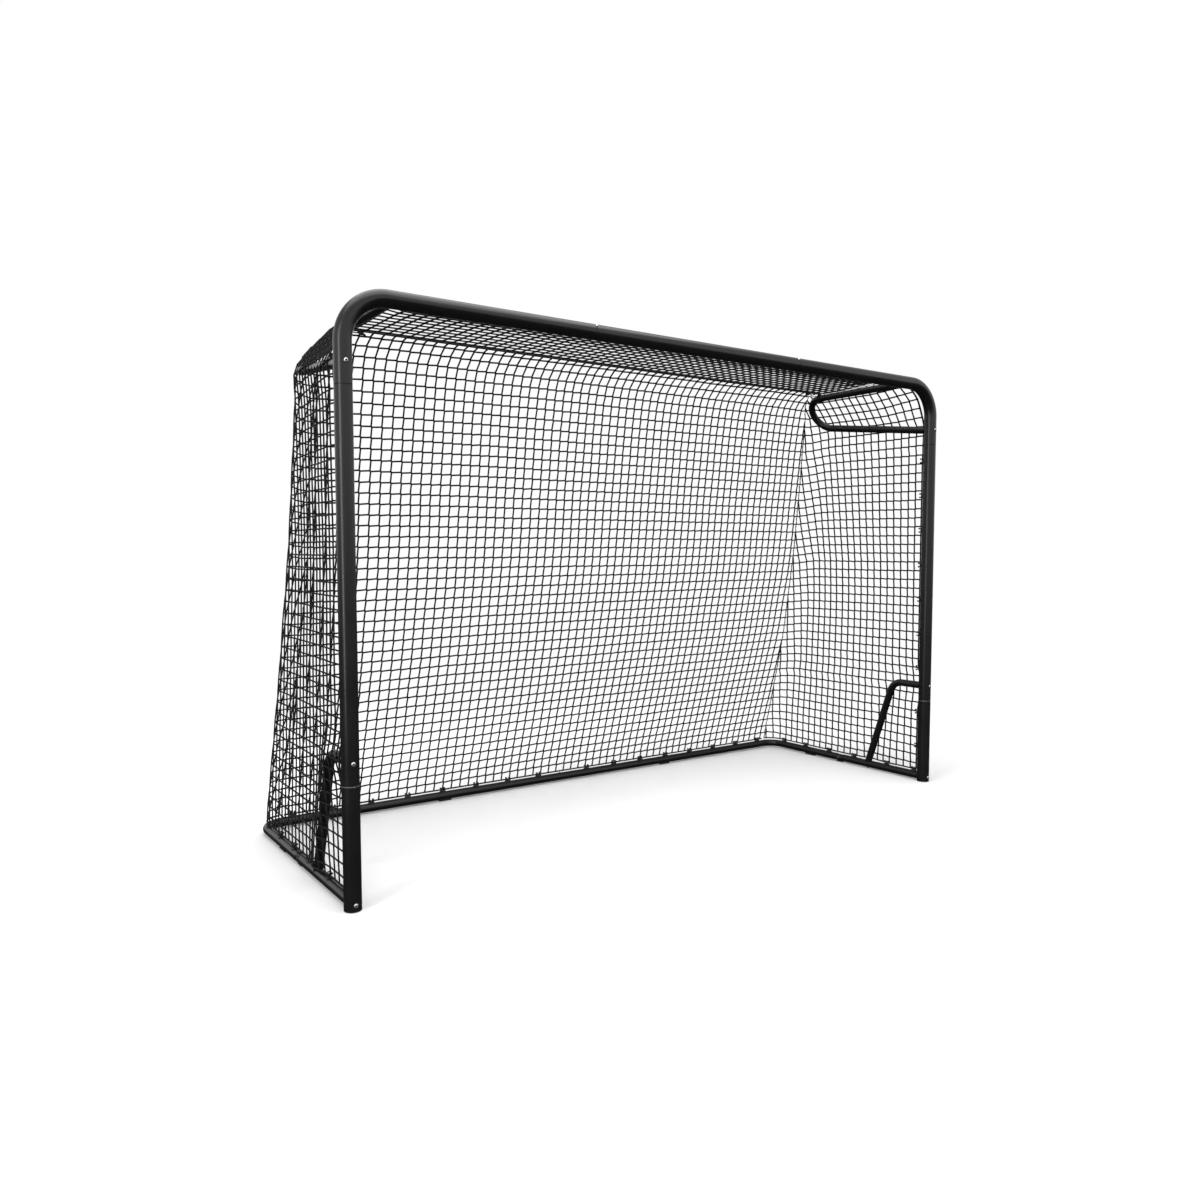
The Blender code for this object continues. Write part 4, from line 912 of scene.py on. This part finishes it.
class Net:
    """Knots on a grid, joined by cords."""

    def __init__(self):
        self.a, self.b, self.k, self.d = [], [], [], []

    def knot(self, p, d):
        self.k.append(p)
        self.d.append(d)

    def cord(self, p, q):
        self.a.append(p)
        self.b.append(q)

    def build(self, r, kr, kl, n=5):
        out = Build()
        a, b = np.array(self.a), np.array(self.b)
        t = b - a
        t /= np.linalg.norm(t, axis=1)[:, None]
        up = np.where(np.abs(t[:, 2:3]) > 0.8, np.array((1.0, 0.2, 0.0)), np.array((0.1, 0.2, 1.0)))
        u = up - (up * t).sum(1)[:, None] * t
        u /= np.linalg.norm(u, axis=1)[:, None]
        w = np.cross(t, u)
        ang = np.arange(n) * 2 * math.pi / n
        c, s = np.cos(ang)[None, :, None], np.sin(ang)[None, :, None]
        off = r * (c * u[:, None] + s * w[:, None])
        v = np.concatenate((a[:, None] + off, b[:, None] + off), 1).reshape(-1, 3)
        base = (np.arange(len(a)) * 2 * n)[:, None]
        i = np.arange(n)
        j = (i + 1) % n
        quads = np.stack((base + i, base + j, base + n + j, base + n + i), 2).reshape(-1, 4)
        caps = np.concatenate((base + i[::-1], base + n + i))
        out.add(v, quads, caps)
        k, d = np.array(self.k), np.array(self.d)
        if len(k):
            d = d / np.linalg.norm(d, axis=1)[:, None]
            up = np.where(np.abs(d[:, 1:2]) > 0.8, np.array((1.0, 0.2, 0.0)), np.array((0.1, 1.0, 0.2)))
            u = up - (up * d).sum(1)[:, None] * d
            u /= np.linalg.norm(u, axis=1)[:, None]
            w = np.cross(d, u)
            m = 5
            ang = np.arange(m) * 2 * math.pi / m
            c, s = np.cos(ang)[None, :, None], np.sin(ang)[None, :, None]
            off = kr * (c * u[:, None] + s * w[:, None])
            lo = k[:, None] - d[:, None] * kl * 0.48 + off
            hi = k[:, None] + d[:, None] * kl * 0.48 + off
            v = np.concatenate((lo, hi, (k - d * kl)[:, None], (k + d * kl)[:, None]), 1).reshape(-1, 3)
            base = (np.arange(len(k)) * (2 * m + 2))[:, None]
            i = np.arange(m)
            j = (i + 1) % m
            quads = np.stack((base + i, base + j, base + m + j, base + m + i), 2).reshape(-1, 4)
            t0 = np.stack((base + j, base + i, base + 2 * m + 0 * i), 2).reshape(-1, 3)
            t1 = np.stack((base + m + i, base + m + j, base + 2 * m + 1 + 0 * i), 2).reshape(-1, 3)
            out.add(v, quads, t0, t1)
        return out


# cord radius, knot radius and half length of a knot, for each panel
TOP_SIZE, BACK_SIZE = (0.0031, 0.0038, 0.0044), (0.0037, 0.0043, 0.0048)
SIDE_SIZE = {"left": (0.0030, 0.0034, 0.0038), "right": (0.0038, 0.0044, 0.0048)}
SHIFT, SIDE_SHIFT = 0.0022, 0.0015

# knots of the top and back
back, top = Net(), Net()
cols = np.arange(-31, 32)
grid, seam_pt = {}, {}
for i in range(N_ROWS):
    xs = float(np.interp(i, [10, 11, 12], [1.300, 1.298, 1.283])) if i <= TOP_ROWS else float(seam_x(ROW_Z[i]))
    seam_pt[i] = xs
    for c in cols:
        x = c * PITCH
        if abs(x) < xs - 0.004:
            p = back_point(i, x)
            inner = 0 < i < N_ROWS - 1
            if inner:
                wa, wb = wander(p, 0.4)
                flat = i < TOP_ROWS
                p = p + RNG.normal(0, 1, 3) * ((0.00035, 0.00035, 0.0) if flat else (0.00035, 0.0001, 0.00035))
                p = p + ((wa, wb, 0.0) if flat else (wa, 0.0, wb))
            grid[i, c] = both_arms(p)


def diag_back(i, c):
    """Knots of this panel lie slantwise, all the same way."""
    t = ROW_Y[min(i + 1, N_ROWS - 1)] - ROW_Y[max(i - 1, 0)], ROW_Z[min(i + 1, N_ROWS - 1)] - ROW_Z[max(i - 1, 0)]
    down = np.array((0.0, t[0], t[1]))
    down /= np.linalg.norm(down)
    return unit(X + down)


def edge_back(i, sign):
    return both_arms(back_point(i, sign * seam_pt[i]))


for (i, c), p in grid.items():
    d = diag_back(i, c)
    inner = 0 < i < N_ROWS - 1
    sheet = top if i < TOP_ROWS else back
    if inner:
        sheet.knot(p, d)
    lo = p - d * SHIFT if inner else p
    hi = p + d * SHIFT if inner else p
    right_p = grid.get((i, c + 1))
    if inner:
        if right_p is not None:
            sheet.cord(hi, right_p - diag_back(i, c + 1) * SHIFT)
        else:
            sheet.cord(hi, edge_back(i, 1))
        if (i, c - 1) not in grid:
            sheet.cord(edge_back(i, -1), lo)
    below = grid.get((i + 1, c))
    if i < N_ROWS - 1:
        if below is not None:
            binner = i + 1 < N_ROWS - 1
            sheet.cord(hi, below - (diag_back(i + 1, c) * SHIFT if binner else 0.0))
    above = grid.get((i - 1, c))
    if i > TOP_ROWS and above is None:
        # a column that starts on the seam
        s = 1 if c > 0 else -1
        za, zb = ROW_Z[i - 1], ROW_Z[i]
        q = np.interp(abs(c) * PITCH, [seam_pt[i - 1], seam_pt[i]], [0.0, 1.0])
        back.cord(edge_back(i - 1, s) * (1 - q) + edge_back(i, s) * q, lo)
# short loops where the columns end on the edge cords
for c in cols:
    if (0, c) in grid:
        back.knot(grid[0, c] + (0, 0.001, 0.001), X)
    if (N_ROWS - 1, c) in grid:
        back.knot(grid[N_ROWS - 1, c] + (0, 0, 0.001), X)

# border line of the panel along the seams and the top
border = Build()
for s in (-1, 1):
    pts = [edge_back(i, s) for i in range(N_ROWS)]
    border.join(sweep(np.array(pts), 0.0017, 6))


def blend_weights(ob):
    """Reads the net's vertex positions; no cloth weights are computed or stored."""
    co = np.empty(len(ob.data.vertices) * 3, np.float32)
    ob.data.vertices.foreach_get("co", co)
    co = co.reshape(-1, 3).astype(float)


def cloth(build, name, mat, node, slot):
    ob = build.object(name, mat, None, (), slot, angle=180)
    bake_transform(ob)
    blend_weights(ob)
    if node:
        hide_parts(node)
    return ob


nb = back.build(*BACK_SIZE).join(top.build(*TOP_SIZE)).join(border)
cloth(nb, "net_top_and_back", NETTING, "net_back", "net_cord")

# side panels
side = Net()
rows = [side_row(k) for k in range(SIDE_ROWS)]
sgrid = {}
for k in range(SIDE_ROWS):
    p, s = rows[k]
    j = 0
    while True:
        u = side_start(k) + (j - 1) * side_pitch(k) if j else 0.0
        if u > s[-1] - 0.006:
            break
        q = along(p, s, u)
        inner = 0 < k < SIDE_ROWS - 1 and j > 0
        if inner:
            wa, wb = wander(q, 1.9)
            q = off_arm(q + RNG.normal(0, 1, 3) * (0.0, 0.00035, 0.00035) + (0.0, wa, wb))
        sgrid[k, j] = q
        j += 1


def diag_side(k, j):
    """Slantwise knots: from low at the back to high at the front."""
    a = sgrid.get((k, j + 1))
    b = sgrid.get((k, j - 1))
    me = sgrid[k, j]
    along_row = (me if b is None else b) - (me if a is None else a)
    upv = sgrid.get((k + 1, j), me) - sgrid.get((k - 1, j), me)
    if np.linalg.norm(along_row) < 1e-6 or np.linalg.norm(upv) < 1e-6:
        return unit((0, -0.7, 1.0))
    return unit(unit(along_row) + unit(upv))


for (k, j), p in sgrid.items():
    inner = 0 < k < SIDE_ROWS - 1 and j > 0
    d = diag_side(k, j) if inner else np.zeros(3)
    if inner:
        side.knot(p, d)
    lo, hi = p - d * SIDE_SHIFT, p + d * SIDE_SHIFT     # lo: towards the back and down
    nxt = sgrid.get((k, j + 1))
    if 0 < k < SIDE_ROWS - 1:
        if nxt is not None:
            side.cord(lo, nxt + diag_side(k, j + 1) * SIDE_SHIFT)
        else:
            side.cord(lo, rows[k][0][-1])
    up_p = sgrid.get((k + 1, j))
    if k < SIDE_ROWS - 1 and j > 0:
        if up_p is not None:
            ud = diag_side(k + 1, j) * SIDE_SHIFT if k + 1 < SIDE_ROWS - 1 else 0.0
            side.cord(hi, up_p - ud)
        else:
            ua, ub = rows[k][1][-1], rows[k + 1][1][-1]
            uj = side_start(k) + (j - 1) * side_pitch(k)
            q = float(np.clip((ua - uj) / max(ua - ub, 1e-6), 0, 1))
            side.cord(hi, rows[k][0][-1] * (1 - q) + rows[k + 1][0][-1] * q)
for (k, j), p in sgrid.items():
    if k == 0 and j > 0:
        side.knot(p + (0, 0, 0.001), Y)
    if j == 0 and 0 < k <= 36:
        side.knot(p + (0, 0.001, 0), Z)

# borders: along the seam and the top
seam_line = np.array([rows[k][0][-1] for k in range(SIDE_ROWS)])
side_border = sweep(seam_line + (0.0022, 0.0008, 0), 0.0017, 6).join(sweep(rows[-1][0][::4], 0.0017, 6))


def foot_line():
    """Edge cord along the ground, from the post round the corner to the seam."""
    p, s = rows[0]
    q = np.linspace(0, s[-1], 90)
    return np.stack([np.interp(q, s, p[:, i]) for i in range(3)], 1)


foot = foot_line()
front_line = np.array([front_point(k) for k in range(SIDE_ROWS)])
for side_name, mirror in (("right", False), ("left", True)):
    b = Build().join(side.build(*SIDE_SIZE[side_name]), mirror).join(side_border, mirror)
    cloth(b, f"net_side_panel_{side_name}", NETTING, f"net_side_{side_name}", "net_cord")
    b = Build().join(sweep(foot, EDGE_R, 8), mirror)
    cloth(b, f"edge_cord_foot_{side_name}", NETTING, None, "net_cord")
    b = Build().join(sweep(fine(front_line[: LAST_TIED + 1], 0.022), EDGE_R, 8), mirror)
    b.object(f"edge_cord_post_{side_name}", NETTING, "goal_frame", (), "net_cord", angle=180)

# the bulging front edge: a second cord, laced zigzag to the net's border
edge = fine(front_line[LAST_TIED:], 0.012)
off = np.array([unit(np.cross(edge[min(i + 1, len(edge) - 1)] - edge[max(i - 1, 0)], Y)) for i in range(len(edge))])
rim = edge + off * 0.0085 * np.sin(np.linspace(0.0, math.pi, len(edge)))[:, None] ** 0.6 + (0, -0.001, 0)
lace = Build().join(sweep(edge, 0.0019, 6)).join(sweep(rim, 0.0028, 8))
zig = []
for i in range(len(edge)):
    zig.append(edge[i] if i % 2 == 0 else rim[i])
lace.join(sweep(np.array(zig), 0.0012, 5))
for side_name, mirror in (("right", False), ("left", True)):
    Build().join(lace, mirror).object(f"corner_lacing_{side_name}", NETTING, "goal_frame", (), "net_cord", angle=180)

# edge cord along the back and the crossbar
back_edge = np.array([back_point(N_ROWS - 1, x) for x in np.linspace(-1.384, 1.384, 121)])
cloth(Build().join(sweep(back_edge, EDGE_R, 8)), "edge_cord_back", NETTING, None, "net_cord")
bar_edge = np.array([(x, bar_hook[1], bar_hook[2]) for x in np.linspace(-1.278, 1.278, 60)])
Build().join(sweep(bar_edge, EDGE_R, 8)).object("edge_cord_crossbar", NETTING, "goal_frame", (), "net_cord", angle=180)


# grey lacing thread down each rear seam
def lacing(points, r_in, r_out, turns_per_m, r):
    p = fine(points, 0.0045)
    s = np.concatenate([[0], np.cumsum(np.linalg.norm(np.diff(p, axis=0), axis=1))])
    t = np.gradient(p, axis=0)
    t /= np.linalg.norm(t, axis=1)[:, None]
    a = np.cross(t, (0.6, 0.8, 0.0))
    a /= np.linalg.norm(a, axis=1)[:, None]
    b = np.cross(t, a)
    w = 2 * math.pi * turns_per_m * s
    return p + r_in * np.cos(w)[:, None] * a + r_out * np.sin(w)[:, None] * b


seam_pts = seam_line[::-1] + (0.0011, 0.0004, 0.0)
thread = Build().join(sweep(lacing(seam_pts[1:], 0.0034, 0.0040, 1 / 0.0435, 0.0009), 0.0009, 5))
for side_name, mirror in (("right", False), ("left", True)):
    cloth(Build().join(thread, mirror), f"seam_lacing_{side_name}", LACING, None, "net_cord")

# ---------------------------------------------------------------- rear-top cord, tied to both arms
cord_pts = [(x, CORD_Y, CORD_Z - top_sag(x)) for x in np.linspace(-1.262, 1.262, 80)]
tie = Build().join(sweep(cord_pts, 0.0036, 10))
for s in (-1, 1):
    # two turns round the upper leg, then a knot on the cord
    for off_y, ph in ((-0.004, 0.0), (0.004, 0.4)):
        pts = []
        for i in range(29):
            w = 2 * math.pi * i / 28 + ph
            pts.append((s * (ARM_TOP_X + (R_ARM + 0.0030) * math.cos(w)), CORD_Y + off_y + 0.002 * math.sin(w), BAR_Z + (R_ARM + 0.0030) * math.sin(w)))
        tie.join(sweep(pts, 0.0024, 7, up=(0, 1, 0)))
    tie.join(sweep([(s * 1.262, CORD_Y, CORD_Z), (s * 1.276, CORD_Y - 0.002, CORD_Z - 0.001), (s * 1.290, CORD_Y - 0.003, CORD_Z - 0.0005)], 0.0032, 8))
    tie.join(blob((s * 1.256, CORD_Y + 0.001, CORD_Z - 0.001), 0.0070, (1, 0.3, 0.4), 1.15, 12, 7))
    # the hitch: three turns round the cord, a knot below them and two short tails
    for x in (1.191, 1.199, 1.207):
        pts = [(s * (x + 0.004 * i / 14), CORD_Y + 0.0057 * math.cos(2 * math.pi * i / 14), CORD_Z - 0.0004 + 0.0057 * math.sin(2 * math.pi * i / 14))
               for i in range(15)]
        tie.join(sweep(pts, 0.0025, 7, up=(1, 0, 0)))
    tie.join(blob((s * 1.202, CORD_Y - 0.002, CORD_Z - 0.0095), 0.0062, (1, 0.1, 0.25 * s), 1.7, 12, 8))
    tie.join(blob((s * 1.190, CORD_Y - 0.003, CORD_Z - 0.0125), 0.0048, (1, 0.2, 0.5 * s), 1.4, 12, 8))
    for tail in (((1.208, -0.002, -0.009), (1.220, 0.001, -0.0080), (1.233, 0.003, -0.0072), (1.243, 0.002, -0.0085)),
                 ((1.188, -0.003, -0.012), (1.183, -0.003, -0.0170), (1.181, -0.001, -0.0215))):
        tie.join(sweep([(s * x, CORD_Y + y, CORD_Z + z) for x, y, z in tail], 0.0023, 7))
tie.object("rear_top_cord_tied", NETTING, "goal_frame", "rear_top_cord", "net_cord", angle=180)

# ---------------------------------------------------------------- hinges
TONGUE_R, EAR_R = 0.0155, 0.0160


def slab(y0, y1, z0, z1, r, n=5):
    """Rounded rectangle in the plane of the side, as (y, z)."""
    out = []
    for cy, cz, w0 in ((y1 - r, z1 - r, 0.0), (y0 + r, z1 - r, 90.0), (y0 + r, z0 + r, 180.0), (y1 - r, z0 + r, 270.0)):
        for i in range(n + 1):
            w = math.radians(w0 + 90.0 * i / n)
            out.append((cy + r * math.cos(w), cz + r * math.sin(w)))
    return np.array(out)


def tab(y_far, r, n=16):
    """A lug: half a disc about the pivot, running on to y_far."""
    s = 1.0 if y_far > PIVOT_Y else -1.0
    out = [(PIVOT_Y - s * r * math.cos(math.pi * i / n - math.pi / 2), GROUND_Z + r * math.sin(math.pi * i / n - math.pi / 2)) for i in range(n + 1)]
    out += [(y_far, GROUND_Z + r), (y_far, GROUND_Z - r)]
    out = np.array(out)
    return out if s < 0 else out[::-1]


def side_loft(out, profiles):
    """Skins (x, outline, inset) sections along the pin's direction."""
    rings = []
    for x, p, inset in profiles:
        c = p.mean(0)
        d = c - p
        p = p + d / np.linalg.norm(d, axis=1)[:, None] * inset
        rings.append(np.stack((np.full(len(p), POST_X + x), p[:, 0], p[:, 1]), 1))
    return out.loft(rings)


def plug(y0, y1):
    c = [np.array((POST_X, y, GROUND_Z)) for y in (y0, y0 + 0.0008, y1 - 0.0008, y1)]
    return Build().loft([ring(q, Y, Z, gi - GAP - k, 40) for q, k in zip(c, (0.0008, 0.0, 0.0, 0.0008))])


front_half = plug(0.470, 0.5165)
lug = tab(0.505, TONGUE_R)
side_loft(front_half, [(-0.0060, lug, 0.0006), (-0.0054, lug, 0.0), (0.0054, lug, 0.0), (0.0060, lug, 0.0006)])
stem = slab(0.5250, 0.5362, 0.0030, 0.0125, 0.0012)
side_loft(front_half, [(-0.0058, stem, 0.0005), (-0.0053, stem, 0.0), (0.0053, stem, 0.0), (0.0058, stem, 0.0005)])
shoe = [(x, slab(0.5105 + e, 0.5478 - e, z0, z1, r), 0.0) for x, e, z0, z1, r in (
    (-0.0110, 0.0030, 0.0036, 0.0056, 0.0009), (-0.0102, 0.0016, 0.0026, 0.0062, 0.0016), (-0.0072, 0.0004, 0.0006, 0.0074, 0.0024),
    (-0.0048, 0.0, 0.0, 0.0078, 0.0026), (0.0048, 0.0, 0.0, 0.0078, 0.0026), (0.0072, 0.0004, 0.0006, 0.0074, 0.0024),
    (0.0102, 0.0016, 0.0026, 0.0062, 0.0016), (0.0110, 0.0030, 0.0036, 0.0056, 0.0009))]
side_loft(front_half, shoe)
both("hinge_front_moulded", front_half, PLASTIC, "goal_frame", "hinge_front", "black_plastic")

rear_half = plug(0.5520, 0.600)
for s in (-1, 1):
    cuts = []
    for x in (0.0065, 0.0070, 0.0095, 0.0120, 0.0145, 0.0150):
        r = min(EAR_R, math.sqrt(0.0184 ** 2 - x * x))
        cuts.append((s * x, tab(0.5545, r), 0.0006 if x in (0.0065, 0.0150) else 0.0))
    side_loft(rear_half, cuts if s > 0 else cuts[::-1])
both("hinge_rear_moulded", rear_half, PLASTIC, "rear_frame", "hinge_rear", "black_plastic")

pin_rings = [ring((POST_X + s * x, PIVOT_Y, GROUND_Z), X, Z, r, 28) for s, order in ((-1, 1), (1, -1)) for x, r in (
    ((0.0166, 0.0018), (0.0166, 0.0022), (0.0170, 0.0026), (0.0170, 0.0044), (0.0167, 0.0054), (0.0162, 0.0060), (0.0154, 0.0060), (0.0153, 0.0040))[::order])]
both("hinge_pin_turned", Build().loft(pin_rings), DARK, "goal_frame", "hinge_pin", "dark_steel")

# ---------------------------------------------------------------- nodes that stay as they are
STAY = {"foot_pad_side": RUBBER, "foot_pad_back": RUBBER,
        "arm_plug": INNER, "brace_plug": INNER, "stub_plug": INNER, "brace_foot_plug": INNER}
for node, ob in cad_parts.items():
    if ob.hide_render:
        continue
    for key, mat in STAY.items():
        if node.startswith(key):
            if ob.material_slots:
                for sl in ob.material_slots:
                    sl.material = mat
            else:
                ob.data.materials.append(mat)

# ---------------------------------------------------------------- floor, light, camera
fm = bpy.data.materials.new("floor_white")
fm.use_nodes = True
fb = fm.node_tree.nodes["Principled BSDF"]
fb.inputs["Roughness"].default_value = 0.9
fb.inputs["Specular IOR Level"].default_value = 0.0
fn = fm.node_tree
ftc = fn.nodes.new("ShaderNodeTexCoord")
flen = fn.nodes.new("ShaderNodeVectorMath")
flen.operation = "LENGTH"
fn.links.new(ftc.outputs["Object"], flen.inputs[0])
# base colour is darker near the middle, under the goal: painted shade on the floor
tone = fn.nodes.new("ShaderNodeMapRange")
tone.interpolation_type = "SMOOTHSTEP"
tone.inputs["From Min"].default_value = 0.8
tone.inputs["From Max"].default_value = 2.0
tone.inputs["To Min"].default_value = 0.885
tone.inputs["To Max"].default_value = 0.93
fn.links.new(flen.outputs["Value"], tone.inputs["Value"])
floor_painted_shade = fn.nodes.new("ShaderNodeCombineColor")
for channel in ("Red", "Green", "Blue"):
    fn.links.new(tone.outputs["Result"], floor_painted_shade.inputs[channel])
fn.links.new(floor_painted_shade.outputs["Color"], fb.inputs["Base Color"])
fade = fn.nodes.new("ShaderNodeMapRange")
fade.interpolation_type = "SMOOTHSTEP"
fade.inputs["From Min"].default_value = 1.9
fade.inputs["From Max"].default_value = 4.2
fn.links.new(flen.outputs["Value"], fade.inputs["Value"])
clear = fn.nodes.new("ShaderNodeBsdfTransparent")
fmix = fn.nodes.new("ShaderNodeMixShader")
fn.links.new(fade.outputs["Result"], fmix.inputs[0])
fn.links.new(fb.outputs[0], fmix.inputs[1])
fn.links.new(clear.outputs[0], fmix.inputs[2])
fn.links.new(fmix.outputs[0], fn.nodes["Material Output"].inputs["Surface"])
bpy.ops.mesh.primitive_plane_add(size=12, location=(0, 0, -0.0006))
floor = bpy.context.object
floor.name = "floor"
floor.data.materials.append(fm)
floor.visible_glossy = False

world = bpy.data.worlds.new("studio")
SC.world = world
world.use_nodes = True
wn = world.node_tree
bg = wn.nodes["Background"]
out = wn.nodes["World Output"]
tc = wn.nodes.new("ShaderNodeTexCoord")
sep = wn.nodes.new("ShaderNodeSeparateXYZ")
wn.links.new(tc.outputs["Generated"], sep.inputs["Vector"])
mr = wn.nodes.new("ShaderNodeMapRange")
mr.inputs["From Min"].default_value = -1.0
mr.inputs["From Max"].default_value = 1.0
wn.links.new(sep.outputs["Z"], mr.inputs["Value"])
cr = wn.nodes.new("ShaderNodeValToRGB")
stops = [(0.0, 0.03), (0.485, 0.05), (0.508, 1.35), (0.60, 1.30), (0.77, 0.90), (0.93, 0.62), (1.0, 0.60)]
e = cr.color_ramp.elements
while len(e) < len(stops):
    e.new(0.5)
for el, (pos, c) in zip(e, stops):
    el.position = pos
    el.color = (c / 2, c / 2, c / 2, 1)
wn.links.new(mr.outputs["Result"], cr.inputs["Fac"])
az = wn.nodes.new("ShaderNodeMapRange")
az.inputs["From Min"].default_value = -1.0
az.inputs["From Max"].default_value = 1.0
az.inputs["To Min"].default_value = 2.15
az.inputs["To Max"].default_value = 1.75
wn.links.new(sep.outputs["Y"], az.inputs["Value"])
wn.links.new(cr.outputs["Color"], bg.inputs["Color"])
wn.links.new(az.outputs["Result"], bg.inputs["Strength"])
bg2 = wn.nodes.new("ShaderNodeBackground")
bg2.inputs["Color"].default_value = (1, 1, 1, 1)
bg2.inputs["Strength"].default_value = 1.0
lp = wn.nodes.new("ShaderNodeLightPath")
mx = wn.nodes.new("ShaderNodeMixShader")
wn.links.new(lp.outputs["Is Camera Ray"], mx.inputs[0])
wn.links.new(bg.outputs[0], mx.inputs[1])
wn.links.new(bg2.outputs[0], mx.inputs[2])
wn.links.new(mx.outputs[0], out.inputs["Surface"])


def area(name, at, look, size_x, size_y, power, spec=1.0):
    d = bpy.data.lights.new(name, "AREA")
    d.shape = "RECTANGLE"
    d.size, d.size_y = size_x, size_y
    d.energy = power
    d.specular_factor = spec
    o = bpy.data.objects.new(name, d)
    SC.collection.objects.link(o)
    at, look = Vector(at), Vector(look)
    o.location = at
    o.rotation_euler = (look - at).to_track_quat("-Z", "Y").to_euler()
    return o


area("soft_top", (-0.4, -0.6, 4.6), (0, 0, 0), 5.0, 4.0, 190, 0.35)
area("strip_left", (-4.4, -1.9, 1.9), (-1.4, -0.5, 1.3), 0.7, 3.4, 60, 1.0)

cam_d = bpy.data.cameras.new("camera")
cam_d.lens = 934.282 / 1200 * 36.0
cam_d.sensor_width = 36.0
cam_d.sensor_fit = "HORIZONTAL"
cam_d.shift_x = -0.5 / 1200
cam_d.shift_y = 11.22 / 1200
cam_d.clip_end = 100.0
cam = bpy.data.objects.new("camera", cam_d)
SC.collection.objects.link(cam)
yaw, pitch, roll = 0.60922, 0.06415, -0.00141
fwd = Vector((math.sin(yaw) * math.cos(pitch), math.cos(yaw) * math.cos(pitch), -math.sin(pitch)))
right = Vector((math.cos(yaw), -math.sin(yaw), 0))
up = right.cross(fwd)
m = Matrix((right, up, -fwd)).transposed().to_4x4()
m = Matrix.Translation((-2.4981, -2.8663 - Y_MID, 1.151)) @ m @ Matrix.Rotation(roll, 4, "Z")
cam.matrix_world = m
SC.camera = cam

SC.view_settings.view_transform = "Standard"
SC.view_settings.look = "None"
SC.view_settings.exposure = 0.0
SC.view_settings.gamma = 1.0
